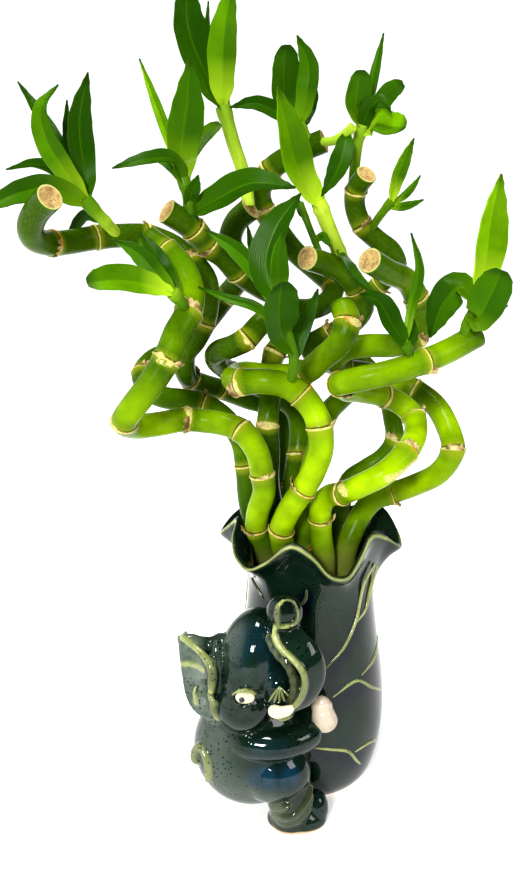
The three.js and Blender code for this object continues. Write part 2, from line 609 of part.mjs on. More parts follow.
function waterSolid() {
  const outline = [[0, floorTop + clearance], [30.6, floorTop + clearance]]
  for (const [radius, height] of [...innerWall].reverse().slice(2)) {
    if (height < waterTop - 1) {
      outline.push([radius - 1, height])
    }
  }
  outline.push([32.6, waterTop], [0, waterTop])
  const whole = solidOf(new THREE.LatheGeometry(
    outline.map(([radius, height]) => new THREE.Vector2(radius, height)), 24).rotateX(Math.PI / 2))
  return Object.values(stalks).reduce(
    (left, stalk) => left.subtract(solidOf(stalkGeometry(stalk, clearance))), whole)
}

function named(name, geometry, material) {
  const mesh = new THREE.Mesh(geometry, material)
  mesh.name = name
  return mesh
}

const plant = new THREE.Group()
plant.add(named('vase', geometryOf(vaseSolid()), glaze))
plant.add(named('water', geometryOf(waterSolid()), clearWater))
for (const [name, stalk] of Object.entries(stalks)) {
  plant.add(named(name, stalkGeometry(stalk), stalkGreen))
}
for (const [name, shoot] of Object.entries(shoots)) {
  plant.add(named(name, geometryOf(shootSolid(shoot)), leafGreen))
}

export default plant
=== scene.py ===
import math
from bisect import bisect_right

import bpy
from mathutils import Matrix, Vector, kdtree


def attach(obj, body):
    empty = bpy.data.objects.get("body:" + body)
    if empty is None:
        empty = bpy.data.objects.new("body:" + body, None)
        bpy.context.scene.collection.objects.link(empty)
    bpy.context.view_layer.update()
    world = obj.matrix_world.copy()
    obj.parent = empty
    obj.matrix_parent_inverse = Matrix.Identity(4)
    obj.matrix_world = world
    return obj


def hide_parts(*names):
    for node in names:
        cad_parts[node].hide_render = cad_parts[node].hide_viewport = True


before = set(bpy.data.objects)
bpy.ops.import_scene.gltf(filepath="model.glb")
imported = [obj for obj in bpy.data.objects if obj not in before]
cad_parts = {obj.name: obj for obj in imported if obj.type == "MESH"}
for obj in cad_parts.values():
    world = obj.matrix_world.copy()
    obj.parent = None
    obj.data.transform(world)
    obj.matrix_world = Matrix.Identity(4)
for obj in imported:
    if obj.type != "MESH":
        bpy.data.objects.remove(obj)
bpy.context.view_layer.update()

# Lucky bamboo in a glazed vase that a sitting elephant hugs. Points and sizes are in
# millimetres, and MM turns them into metres. Values of material nodes are in metres.
MM = 0.001
seam_gap = 0.02
heading_reach = 0.4

# Camera
camera_place = (-31, -446, 300)
camera_tilt = 77.4
camera_lens = 34.0
sensor_height = 36

# Vase
floor_top = 7
wall = 3.4
cutter_top = 170
neck_radius = 36
neck_height = 115
neck_flare = 0.16
pot_columns = 132
outer_wall = [
    (0, 0), (28.5, 0), (31, 0.3), (33, 2), (37, 8), (40.3, 18), (42.4, 31), (43.2, 48), (41.8, 68),
    (38.6, 90), (neck_radius, neck_height),
]
inner_wall = [
    (neck_radius - wall, neck_height), (35.0, 90), (38.6, 66), (39.5, 46), (38.4, 30), (36, 16), (33.6, 9.6),
    (31, floor_top), (0, floor_top),
]
rim_points = [
    (51, -5, 139), (51, 13, 144), (44, 31, 151), (25, 45, 146), (5, 49, 140), (-15, 46, 147), (-32, 37, 152),
    (-45, 24, 149), (-53, 8, 143), (-48, -3, 150), (-43, -11, 156), (-45, -21, 149), (-43, -31, 142),
    (-36, -41, 139), (-27, -45, 144), (-14, -48, 154), (-3, -47, 148), (8, -44, 136), (17, -40, 134),
    (25, -32, 142), (32, -23, 151), (41, -14, 147),
]
lip_shape = [(0.08, 0.28), (0.26, 0.55), (0.56, 0.8), (0.9, 0.97)]
water_profile = [
    (0, floor_top + 0.3), (30.6, floor_top + 0.3), (32.6, 9.6), (35, 16), (37.4, 30), (38.5, 46), (37.6, 66),
    (34.6, 88), (33.0, 99.2), (32.5, 99.7), (31.2, 99.2), (28, 99), (0, 99),
]
# Raised veins as (degrees round the vase, height), and how deep they sit in the wall
vein_sink = 0.1
pot_veins = [
    [(-29, 136), (-44, 127), (-46, 116), (-53, 105), (-66, 93), (-82, 83)],
    [(-24, 134), (-31, 120), (-38, 110), (-52, 105)],
    [(-12, 88), (-31, 80), (-50, 75)],
    [(-16, 54), (-23, 58), (-40, 66), (-53, 73), (-60, 73), (-77, 67)],
    [(-96, 39), (-79, 37), (-63, 33), (-54, 25), (-34, 11)],
    [(-18, 25), (-26, 28), (-41, 32), (-57, 31)],
    [(-97, 128), (-98, 122), (-104, 117)],
    [(-154, 126), (-145, 121), (-138, 116)],
    [(40, 126), (52, 96), (70, 60), (84, 28)],
    [(54, 92), (36, 76), (18, 70)],
    [(66, 64), (46, 48), (26, 42)],
    [(96, 124), (106, 92), (124, 58), (140, 30)],
    [(106, 92), (90, 74)],
    [(120, 62), (104, 46)],
    [(160, 126), (168, 96), (178, 66)],
]

# Elephant: the light ridge of the trunk, the way the trunk bulges beside it, how far it goes
# back behind the ridge, the row of ribs inside its curve and the rim of its open tip
trunk_ridge = [
    (-14.2, -75, 79.8), (-9.6, -76, 86.8), (-7.5, -76, 94.8), (-9.0, -76, 101.7), (-13.2, -74, 106.4),
    (-19, -71, 111.2), (-22, -68.5, 116), (-22.5, -67.5, 119.2), (-21, -68, 121.5),
]
trunk_bulge = [
    (0.3, 0.1, -1), (0.75, 0.1, -0.65), (1, 0.1, -0.05), (0.95, 0.1, 0.3), (0.75, 0.1, 0.65),
    (0.8, 0.1, 0.6), (0.95, 0.1, 0.25), (1, 0.1, 0), (1, 0.15, -0.2),
]
trunk_width = [8, 13.4, 15.8, 15.6, 15, 15, 14, 12.5, 11]
trunk_depth = [
    (-10, 15, 3), (-10, 16, 3), (-10, 17, 2), (-9, 16, 1), (-8, 15, 0), (-6, 13, 0), (-4, 11, 0), (-3, 9, 0),
    (-2, 8, 0),
]
trunk_ribs = [
    (-25.3, -64, 116), (-23.3, -67, 111.5), (-20.4, -69, 107.4), (-15.5, -71, 102.3), (-12.6, -71, 94.7),
    (-12.3, -71, 88.7), (-13.8, -71, 83.3),
]
trunk_tip = [
    (-17.3, -69, 136), (-20.4, -69.5, 133), (-21, -69.5, 127.5), (-19.9, -69.5, 122.2), (-15.1, -70, 122.2),
    (-11.7, -70, 124), (-10.4, -69.5, 127.9), (-11.2, -69, 131.4), (-13, -68.5, 134.6),
]
trunk_half = 14
rib_spacing = 4.5
rib_height = 0.55
hollow_bulge = 2.6
mouth_corner = (-19.6, -70, 90.4)
mouth_folds = [
    (-25, -71.5, 82.6), (-22.4, -72.6, 82.2), (-19.6, -73, 82.6), (-17, -73, 83.4), (-14.8, -72.4, 86),
]

lower_lip = [(-24, -70, 75.6), (-18.3, -72.5, 74), (-12.5, -72, 75.8)]
tusk_line = [(-25, -73, 79.6), (-20.6, -75.5, 79.3), (-16.4, -76, 80.2), (-12.4, -75.5, 82.4)]

# Elephant: the front and back edges of the ear, its folds, the tail, the lids and the limbs
ear_front = [
    (-70.3, -50, 107.2), (-65.6, -53, 105), (-61, -56, 103), (-55.6, -60, 98.4), (-53.4, -62, 93.8),
    (-53.5, -62, 88.5), (-54, -61.5, 83), (-53.8, -61, 77.6), (-52.8, -61, 71.8), (-50.8, -60.5, 66),
]
ear_back = [
    (-71, -48.5, 106.2), (-71.6, -47.5, 102), (-71.6, -46, 96), (-71.2, -46, 91), (-70, -46, 83),
    (-69, -46.5, 74), (-66.2, -48, 67.8), (-62.4, -50, 63.5), (-57, -53.5, 61.5), (-52, -57.5, 62.8),
]
ear_top = [(-69.5, -49, 107.2), (-63.4, -49, 105.6), (-57.7, -48.5, 102.4), (-50, -47, 101), (-44, -45, 103)]
ear_lobe = [(-55.6, -60.5, 79.4), (-53.2, -61.8, 77.7), (-52.8, -61.8, 71.8), (-50.6, -61.2, 65.6)]
ear_columns = 12
ear_cup = 4.5
ear_fold = 1.5
ear_waves = 7
ear_thickness = 3.2
ear_hollow = Vector((0.3, 1, 0))
ear_folds = [
    [(-70.8, -46.4, 89.8), (-66.1, -48.6, 91.2), (-62.1, -51.4, 91.7), (-57.9, -56, 91.4)],
    [(-62.2, -52.5, 82), (-63.4, -51, 76), (-63, -51.4, 70)],
]
tail_line = [
    (-60, -51, 36.5), (-63.4, -53.4, 38), (-64, -53.6, 42), (-62.4, -54, 45.6), (-59.8, -56, 46.4),
    (-57.8, -58.6, 43.4), (-56.4, -60, 36.4), (-57, -58, 28),
]
upper_lid = [(-44, -66.8, 83.4), (-38.6, -69.9, 87.9), (-34.4, -69.9, 87.5), (-30.6, -68.4, 84)]
lower_lid = [(-42.6, -68, 81.4), (-37, -71, 79.2), (-31.6, -69.4, 81.6)]
under_eye = [(-43.3, -66.6, 79), (-39.3, -70, 77.4), (-35.2, -71, 76.4)]
leg_line = [(-14, -52, 36), (-13, -53.5, 20), (-13, -52.5, -6)]
arm_line = [(-50, -50, 54), (-34, -60, 52.5), (-20, -62, 52.5), (-8, -58, 53.5), (2, -50, 55)]
paw_line = [(2.9, -47, 72.4), (3.5, -49.5, 67), (4.9, -50.8, 60), (5.9, -50.6, 54)]
paw_radii = [3.2, 4.9, 5.8, 5.65, 6.3, 6.8, 7.3, 7.7, 7.6]
paw_front = -56.2
paw_bottom = 50.6
paw_side = 3
paw_slope = 0.3
front_flatness = 0.75
bottom_flatness = 0.85
leg_folds = [
    [(-24.6, -59, 14.8), (-19.4, -63, 11.6), (-12.6, -64.5, 12.3), (-7, -63, 16.6), (-2.8, -59.5, 22.6),
     (-1.7, -57, 27.5)],
    [(-23.6, -58, 10.6), (-17.3, -62.5, 7.4), (-8.9, -63, 9.7), (-3.6, -60.5, 14.2), (-1, -56.5, 21)],
    [(-25, -59, 15.8), (-19.4, -64, 16.9), (-13.6, -67.5, 20.2)],
]

# Stalks: foot (x, y), radius at the foot and the tip, how yellow it is from 0 to 1, the numbers
# of the knots that carry a node ring, and the knots. A stalk's yellow is partly its own tone and partly
# painted shade, darker for the stalks further back
stalks = {
    "stalk_01": ((-23, 4), (6.0, 6.4), 0.52, (1, 4, 8, 10, 13, 15), [
        (-35, 0, 163), (-37, 0, 186), (-40, 2, 200), (-49, 4, 212), (-60, 5, 219), (-72, 3, 222),
        (-82, 0, 224), (-90, -1, 229), (-93, 6, 236), (-89, 14, 242), (-80, 21, 246), (-69, 28, 252),
        (-58, 32, 264), (-48, 30, 277), (-41, 23, 286), (-39, 14, 295), (-45, 9, 306), (-42, 5, 316),
        (-34, 0, 323)]),
    "stalk_02": ((-20, -11), (5.8, 6.8), 0.82, (1, 4, 6, 9, 12, 15, 17, 20), [
        (-27, -18, 146), (-31, -23, 157), (-30, -27, 168), (-27, -30, 179), (-28, -32, 189), (-31, -33, 202),
        (-39, -31, 212), (-49, -28, 215), (-59, -26, 216), (-67, -27, 217), (-80, -34, 216), (-91, -45, 217),
        (-94, -57, 222), (-88, -64, 231), (-80, -64, 241), (-73, -62, 252), (-68, -58, 264), (-63, -52, 273),
        (-62, -46, 283), (-67, -42, 294), (-75, -38, 301), (-84, -34, 307)]),
    "stalk_03": ((-9, -21), (6.4, 6.6), 0.95, (1, 3, 6, 8, 11, 15, 18), [
        (-17, -25, 148), (-18, -29, 158), (-14, -33, 170), (-7, -38, 183), (-2, -44, 195), (1, -46, 206),
        (0, -46, 217), (-3, -44, 225), (-9, -42, 232), (-17, -42, 237), (-28, -42, 239), (-38, -37, 238),
        (-43, -25, 238), (-37, -14, 239), (-22, -11, 237), (-6, -18, 240), (3, -28, 249), (11, -34, 258),
        (14, -32, 267), (12, -25, 275)]),
    "stalk_04": ((6, -22), (6.0, 6.1), 0.95, (2, 5, 8, 10, 12, 15, 18), [
        (6, -20, 138), (4, -22, 150), (3, -24, 162), (3, -27, 171), (7, -33, 178), (13, -42, 182),
        (21, -52, 189), (32, -54, 196), (43, -46, 204), (50, -32, 210), (51, -20, 217), (45, -16, 223),
        (35, -20, 228), (22, -30, 232), (13, -42, 235), (9, -52, 239), (13, -61, 242), (29, -64, 246),
        (48, -58, 251), (60, -52, 255), (75, -46, 262)]),
    "stalk_05": ((17, -12), (6.3, 6.4), 0.88, (4, 7, 10, 13, 18, 20), [
        (18, -10, 135), (21, -8, 146), (27, -4, 158), (35, 0, 166), (45, 2, 169), (57, -2, 175),
        (68, -12, 185), (73, -18, 199), (71, -8, 211), (66, 4, 220), (57, 12, 226), (44, 14, 232),
        (28, 10, 236), (16, 3, 239), (11, -5, 245), (16, -10, 251), (28, -10, 253), (43, -6, 253),
        (54, -3, 257), (55, -4, 266), (52, -8, 278), (45, -16, 287), (35, -26, 291), (23, -40, 297)]),
    "stalk_06": ((-10, 3), (5.8, 6.2), 0.46, (2, 5, 7, 11, 16, 20, 22), [
        (-10, 3, 160), (-10, 4, 178), (-8, 5, 191), (-7, 9, 203), (-9, 15, 213), (-18, 22, 220),
        (-34, 24, 228), (-46, 14, 236), (-53, -2, 245), (-50, -16, 251), (-43, -22, 254), (-36, -24, 258),
        (-28, -20, 266), (-16, -10, 271), (-1, 6, 271), (9, 19, 275), (12, 29, 282), (4, 36, 290),
        (-9, 36, 301), (-19, 32, 313), (-27, 28, 324), (-29, 24, 333), (-23, 16, 344), (-9, 10, 352),
        (4, 6, 357)]),
    "stalk_07": ((-16, 15), (5.9, 6.2), 0.46, (3, 7, 12, 14, 15), [
        (-22, 11, 160), (-24, 6, 176), (-24, -2, 195), (-25, -4, 209), (-24, -1, 220), (-23, 5, 230),
        (-23, 7, 239), (-21, 3, 248), (-15, 6, 255), (-9, 14, 263), (-14, 15, 274), (-28, 4, 282),
        (-41, -8, 291), (-48, -16, 299), (-55, -22, 304), (-62, -28, 312), (-74, -36, 320)]),
    "stalk_08": ((-3, 23), (5.8, 6.2), 0.46, (1, 7, 9, 13, 16, 18, 20, 22), [
        (-18, 24, 155), (-18, 24, 168), (-17, 24, 180), (-17, 26, 191), (-17, 31, 203), (-24, 38, 212),
        (-36, 38, 216), (-52, 27, 224), (-61, 20, 228), (-68, 13, 232), (-70, 3, 239), (-69, -3, 248),
        (-63, -8, 256), (-58, -12, 266), (-56, -14, 277), (-57, -12, 287), (-64, -8, 296), (-74, -4, 304),
        (-88, -6, 309), (-101, -12, 309), (-112, -16, 308), (-122, -24, 306), (-130, -34, 305),
        (-135, -46, 307), (-134, -56, 312), (-129, -64, 318), (-120, -74, 324)]),
    "stalk_09": ((16, 12), (5.4, 5.5), 0.62, (5, 10, 13, 17, 19), [
        (17, 14, 149), (19, 16, 161), (23, 20, 172), (33, 24, 178), (43, 24, 185), (49, 24, 195),
        (48, 28, 206), (46, 36, 217), (38, 42, 231), (27, 42, 242), (20, 37, 251), (21, 30, 262),
        (27, 28, 272), (38, 28, 283), (46, 20, 292), (42, 12, 301), (32, 6, 308), (24, 2, 315), (20, 0, 324),
        (20, -4, 332), (24, -12, 339)]),
    "stalk_10": ((-2, -10), (5.9, 6.2), 0.66, (0, 5, 8, 11, 13, 16), [
        (-5, -10, 142), (-5, -11, 154), (-5, -11, 166), (-3, -11, 180), (0, -10, 192), (4, -6, 206),
        (9, 4, 215), (16, 14, 220), (22, 20, 225), (22, 25, 231), (14, 24, 238), (2, 16, 244), (-1, 10, 251),
        (9, 8, 257), (20, 6, 263), (26, 3, 272), (22, 0, 282), (13, -6, 291),
        (4, -14, 295), (-6, -26, 298)]),
}

# Shoots: stem radius, brightness of the stem at its foot and tip, stem line, and each leaf as
# (width, start along the stem, brightness from 0 dark to 1 yellow-green, points to the tip)
shoots = {
    "shoot_far_left": (2.9, (1.0, 0.4),
        [(-101, -14, 309), (-105, -24, 315), (-110, -28, 321), (-114, -30, 326)], [
        (12.5, 0.95, 0.1, [(-114, -27, 340), (-115, -29, 360), (-109, -34, 382)]),
        (11, 0.9, 0.55, [(-121, -36, 338), (-128.5, -40, 352), (-129.5, -43, 365), (-121, -44, 375)]),
        (9, 0.84, 0.15, [(-125, -18, 345), (-136, -15, 365), (-147, -14, 382)]),
        (6, 0.8, 0.15, [(-121, -20, 345), (-123, -20, 359), (-122, -22, 372)]),
        (12, 0.87, 0.4, [(-127, -42, 330), (-141, -56, 326), (-153, -66, 318)]),
        (9, 0.76, 0.1, [(-127, -16, 338), (-141, -10, 344), (-158, -6, 342)]),
        (6, 0.46, 0.1, [(-115, -18, 319), (-121, -12, 316), (-129, -6, 307)])]),
    "shoot_left_low": (2.6, (0.1, 0.6), [(-64, -56, 275), (-66, -62, 279), (-69, -65, 283)], [
        (14, 0.92, 0.65, [(-80, -70, 287), (-92, -76, 289), (-104, -82, 288)], "blunt"),
        (9, 0.87, 0.4, [(-77, -60, 292), (-86, -57, 301), (-96, -55, 306)]),
        (9.5, 0.79, 0.15, [(-74, -56, 292), (-79, -54, 302), (-85, -52, 310)])]),
    "shoot_left_tall": (2.6, (0.1, 0.35),
        [(-60, -30, 313), (-63, -33, 321), (-64, -33, 328), (-66, -32, 335)], [
        (17, 0.95, 0.45, [(-66.5, -32, 348), (-63.5, -35, 366), (-61, -40, 387)]),
        (5, 0.91, 0.75, [(-72, -27, 351), (-79, -23, 370), (-87, -20, 391)]),
        (8.5, 0.84, 0.2, [(-70, -40, 343), (-80, -48, 342.5), (-96, -54, 338)]),
        (5, 0.88, 0.35, [(-72, -28, 341), (-78, -26, 345), (-86, -26, 347)]),
        (8, 0.98, 0.65, [(-62, -22, 349), (-56, -16, 357), (-49, -12, 363)], "blunt"),
        (7, 0.45, 0.2, [(-62, -38, 327), (-60, -40, 331), (-58, -40, 336)]),
        (17, 0.28, 0.12, [(-50, -40, 325), (-33, -46, 332), (-13, -48, 330)])]),
    "shoot_top_left": (3.3, (1.0, 0.6), [(-35, 2, 324), (-37, 4, 338), (-43, 2, 356), (-48, 0, 373)], [
        (21, 0.94, 0.12, [(-56, -1, 387), (-64.5, -3, 409), (-64.5, -6, 432)]),
        (15, 0.98, 0.6, [(-48, -5, 389), (-46, -10, 409), (-42, -14, 427)]),
        (5, 0.9, 0.3, [(-53, 6, 389), (-56, 8, 406), (-55, 9, 424)])]),
    "shoot_centre_tall": (3.6, (0.8, 1.0), [(16, -2, 291), (11, -8, 302), (6, -12, 312), (0, -17, 325)], [
        (18.5, 0.9, 0.7, [(-10, -22, 339), (-16, -30, 357), (-21, -38, 375)]),
        (9, 0.32, 0.1, [(13, -30, 296), (16, -49, 289), (26, -58, 280)])]),
    "shoot_top_middle": (2.4, (0.6, 0.6), [(-2, 6, 354), (-6, 5, 360), (-9, 4, 365)], [
        (16, 0.9, 0.3, [(-16, 9, 376), (-17, 4, 390), (-16.5, -2, 401)], "blunt"),
        (11, 0.95, 0.4, [(-6, 0, 378), (-5, -1, 392), (-11, -4, 405)]),
        (8, 0.84, 0.1, [(-4, 11, 375), (-2, 13, 382), (-4, 14, 390)]),
        (9, 0.77, 0.1, [(-18, 2, 369), (-31, -1, 374), (-44, -4, 372)])]),
    "shoot_top_drooping": (2.2, (0.7, 0.9), [(3, 2, 356), (8, -2, 356), (14, -5, 359), (17, -8, 362)], [
        (10.5, 0.75, 0.1, [(12, -13, 349), (8, -18, 339), (1, -20, 328)])]),
    "shoot_top_right": (2.6, (0.45, 0.7), [(19, 2, 336), (20, 4, 346), (21, 2, 356), (23, 0, 364)], [
        (14, 0.93, 0.45, [(19, -3, 372), (19.5, -6, 381), (20, -9, 388)], "blunt"),
        (5, 0.97, 0.45, [(26, 3, 376), (29, 2, 391), (32, 0, 407)]),
        (10, 0.89, 0.35, [(31, 9, 373), (38, 12, 382), (45, 13, 386)], "blunt"),
        (15, 0.85, 0.7, [(29, -5, 364), (35, -10, 362), (42, -15, 361)], "blunt"),
        (8, 0.81, 0.1, [(26, -6, 372), (31, -10, 374), (35, -14, 368)])]),
    "shoot_right_small": (2.0, (0.5, 0.4), [(29, 0, 313), (32, -8, 319), (37, -13, 326)], [
        (7, 0.96, 0.6, [(39, -14, 336), (42, -16, 345), (46, -19, 355)]),
        (4, 0.9, 0.55, [(43, -9, 328), (48, -7, 333), (52, -6, 339)]),
        (4, 0.84, 0.5, [(41, -16, 323), (46, -20, 324), (51, -22, 326)])]),
    "shoot_right_inner": (2.3, (0.1, 0.25), [(40, -61, 251), (39, -63, 256), (37, -64, 260)], [
        (12, 0.84, 0.08, [(30, -67, 270), (24, -69, 279), (15, -72, 283)]),
        (4.5, 0.94, 0.45, [(40, -61, 275), (43, -62, 293), (38, -65, 309)]),
        (5, 0.74, 0.15, [(42, -57, 262), (42, -54, 268), (41, -52, 274)])]),
    "shoot_far_right": (2.3, (0.3, 0.5), [(67, -50, 259), (68, -52, 267), (71, -52, 274), (74, -52, 282)], [
        (17, 0.86, 0.85, [(76, -52, 298), (77, -53, 317), (79, -57, 335)]),
        (17, 0.5, 0.4, [(71, -60, 271), (75, -64, 281), (79, -66, 293)], "blunt"),
        (16, 0.72, 0.3, [(66, -46, 285), (59, -42, 277), (53.5, -40, 260)]),
        (3, 0.36, 0.1, [(78, -50, 271), (84, -46, 273), (90, -42, 276)])]),
    "shoot_centre_front": (2.4, (0.35, 0.2),
        [(-14, -47, 241), (-13, -53, 248), (-15, -58, 259), (-19, -61, 269), (-22, -62, 279)], [
        (9, 0.95, 0.45, [(-21, -67, 289), (-21, -69, 300), (-19, -70, 310)]),
        (8.5, 0.91, 0.45, [(-31, -56, 292), (-42, -50, 303), (-55, -45, 311)]),
        (18, 0.4, 0.25, [(-19.5, -66, 264), (-21, -75, 276), (-20, -82, 288)], "blunt"),
        (7, 0.27, 0.1, [(-9, -51, 265), (-5, -50, 275), (-2, -49, 284)]),
        (4.5, 0.62, 0.4, [(-31, -59, 276), (-44, -57, 280), (-58, -54, 285)]),
        (7, 0.86, 0.1, [(-28, -52, 293), (-33, -48, 303), (-35, -46, 313)]),
        (15.5, 0.98, 0.1, [(-27, -58, 295), (-22, -56, 312), (-11, -54, 327)])]),
    "shoot_centre_twig": (1.6, (0.1, 0.2), [(2, -18, 298), (-2, -17, 307), (-6, -14, 317), (-9, -12, 325)], [
        (4, 0.3, 0.3, [(2, -20, 309), (3, -24, 307), (5, -28, 304)]),
        (4, 0.75, 0.15, [(-8, -12, 320), (-9, -8, 324), (-11, -4, 328)])]),
}


# Lines and pieces

def smooth_line(points, per_span=12, closed=False):
    """Places along a smooth curve through the points"""
    points = [Vector(point) for point in points]
    count = len(points)
    spans = count if closed else count - 1
    line = []
    for span in range(spans):
        p1 = points[span]
        p2 = points[(span + 1) % count]
        p0 = points[span - 1] if span > 0 or closed else p1 * 2 - p2
        p3 = points[(span + 2) % count] if span < count - 2 or closed else p2 * 2 - p1
        gap0, gap1, gap2 = (math.sqrt((a - b).length) for a, b in ((p0, p1), (p1, p2), (p2, p3)))
        slope1 = ((p1 - p0) / gap0 - (p2 - p0) / (gap0 + gap1) + (p2 - p1) / gap1) * gap1
        slope2 = ((p2 - p1) / gap1 - (p3 - p1) / (gap1 + gap2) + (p3 - p2) / gap2) * gap1
        for step in range(per_span):
            t = step / per_span
            line.append(p1 + slope1 * t + (-3 * p1 + 3 * p2 - 2 * slope1 - slope2) * t ** 2
                        + (2 * p1 - 2 * p2 + slope1 + slope2) * t ** 3)
    if not closed:
        line.append(points[-1])
    return line


class Run:
    """A smooth line that can be asked for the place at a distance along it"""

    def __init__(self, points):
        self.places = smooth_line(points)
        self.lengths = [0.0]
        for before, after in zip(self.places, self.places[1:]):
            self.lengths.append(self.lengths[-1] + (after - before).length)
        self.length = self.lengths[-1]

    def at(self, distance):
        distance = min(max(distance, 0.0), self.length)
        index = min(max(bisect_right(self.lengths, distance) - 1, 0), len(self.places) - 2)
        share = (distance - self.lengths[index]) / (self.lengths[index + 1] - self.lengths[index])
        return self.places[index].lerp(self.places[index + 1], share)

    def heading(self, distance):
        return (self.at(distance + heading_reach) - self.at(distance - heading_reach)).normalized()

    def nearest(self, point):
        gaps = [(place - Vector(point)).length for place in self.places]
        return self.lengths[gaps.index(min(gaps))]


def level(value, stops):
    """The height of a curve drawn through (x, y) stops"""
    if value <= stops[0][0]:
        return stops[0][1]
    for (x0, y0), (x1, y1) in zip(stops, stops[1:]):
        if value <= x1:
            share = (value - x0) / (x1 - x0)
            return y0 + (y1 - y0) * share * share * (3 - 2 * share)
    return stops[-1][1]


def nothing_selected():
    for item in bpy.context.selected_objects:
        item.select_set(False)


def only(piece):
    nothing_selected()
    piece.select_set(True)
    bpy.context.view_layer.objects.active = piece


def sheet_over(name, rows):
    """A grid laid over rows of points in mm, with its UV map kept"""
    nothing_selected()
    bpy.ops.mesh.primitive_grid_add(
        x_subdivisions=len(rows[0]) - 1, y_subdivisions=len(rows) - 1, size=1, location=(0, 0, 0))
    piece = bpy.context.object
    piece.name = name
    flat = [value * MM for row in rows for point in row for value in point]
    piece.data.vertices.foreach_set("co", flat)
    piece.data.update()
    return piece


def close_seams(piece):
    """Merges the points that meet at seams and poles"""
    only(piece)
    bpy.ops.object.mode_set(mode="EDIT")
    bpy.ops.mesh.select_all(action="SELECT")
    bpy.ops.mesh.remove_doubles(threshold=seam_gap * MM)
    bpy.ops.object.mode_set(mode="OBJECT")


def closed_sheet(name, rows):
    piece = sheet_over(name, rows)
    close_seams(piece)
    return piece


def give_each_point(piece, name, values):
    layer = piece.data.attributes.new(name, "FLOAT", "POINT")
    layer.data.foreach_set("value", values)


def give_all_points(piece, name, value):
    give_each_point(piece, name, [value] * len(piece.data.vertices))


def smooth_shaded(piece, angle=60):
    only(piece)
    bpy.ops.object.shade_smooth_by_angle(angle=math.radians(angle))


def apply_modifier(piece, kind, **settings):
    only(piece)
    modifier = piece.modifiers.new(kind.lower(), kind)
    for setting, value in settings.items():
        setattr(modifier, setting, value)
    bpy.ops.object.modifier_apply(modifier=modifier.name)


def soften(piece):
    apply_modifier(piece, "SMOOTH", factor=0.5, iterations=4)


def joined(name, pieces):
    only(pieces[0])
    for piece in pieces[1:]:
        piece.select_set(True)
    bpy.ops.object.join()
    whole = bpy.context.object
    whole.name = name
    whole.data.name = name
    return whole


def place_in_mesh(piece):
    only(piece)
    bpy.ops.object.transform_apply(location=True, rotation=True, scale=True)


def tube_rows(run, stations, sides, shape=None):
    """Rings of points round a line; stations are (distance, radius)"""
    rows = []
    side = None
    for number, (distance, radius) in enumerate(stations):
        place = run.at(distance)
        heading = run.heading(distance)
        if side is None:
            side = Vector((1, 0, 0)) if abs(heading.x) < 0.9 else Vector((0, 1, 0))
        side = (side - heading * side.dot(heading)).normalized()
        over = heading.cross(side)
        row = []
        for step in range(sides + 1):
            turn = 2 * math.pi * (step % sides) / sides
            reach = radius * (shape(number, turn) if shape else 1)
            row.append(place + side * (reach * math.cos(turn)) + over * (reach * math.sin(turn)))
        rows.append(row)
    return rows


def tube(name, points, radii, sides=24, steps=40):
    """A round tube with round ends through points, its radii spaced evenly along it"""
    run = Run(points)
    spread = [(index / (len(radii) - 1), radius) for index, radius in enumerate(radii)]
    stations = []
    for step in range(steps + 1):
        distance = run.length * step / steps
        radius = level(step / steps, spread)
        inward = max(0, min(1, min(distance, run.length - distance) / radius))
        stations.append((distance, radius * math.sqrt(inward * (2 - inward))))
    return closed_sheet(name, tube_rows(run, stations, sides))


def polar(turn, radius, height):
    return Vector((radius * math.cos(turn), radius * math.sin(turn), height))


def turned(name, profile, sides):
    """A form turned round the vase's axis from (radius, height) places"""
    turns = [2 * math.pi * (step % sides) / sides for step in range(sides + 1)]
    return closed_sheet(name, [[polar(turn, *place) for turn in turns] for place in profile])


def ball(name, centre, radii, turn=(0, 0, 0)):
    nothing_selected()
    bpy.ops.mesh.primitive_uv_sphere_add(
        segments=40, ring_count=24, radius=MM, location=[value * MM for value in centre],
        rotation=[math.radians(value) for value in turn], scale=radii)
    piece = bpy.context.object
    piece.name = name
    place_in_mesh(piece)
    return piece


def nearness(piece, lines):
    """How near each point is to the (points, width, strength) lines, from 0 to the strength"""
    marks = [(place * MM, width, strength) for line, width, strength in lines
             for place in smooth_line(line, 10)]
    tree = kdtree.KDTree(len(marks))
    for index, (place, _, _) in enumerate(marks):
        tree.insert(place, index)
    tree.balance()
    values = []
    for vertex in piece.data.vertices:
        _, index, gap = tree.find(vertex.co)
        _, width, strength = marks[index]
        values.append(strength * math.exp(-((gap / (width * MM)) ** 4)))
    return values


# Materials

def add_node(tree, kind, inputs=None, output=0, **settings):
    """A node with its inputs filled or linked; gives back one of its outputs"""
    node = tree.nodes.new(kind)
    for setting, value in settings.items():
        setattr(node, setting, value)
    for socket, value in (inputs or {}).items():
        if isinstance(value, bpy.types.NodeSocket):
            tree.links.new(value, node.inputs[socket])
        else:
            node.inputs[socket].default_value = value
    return node.outputs[output]


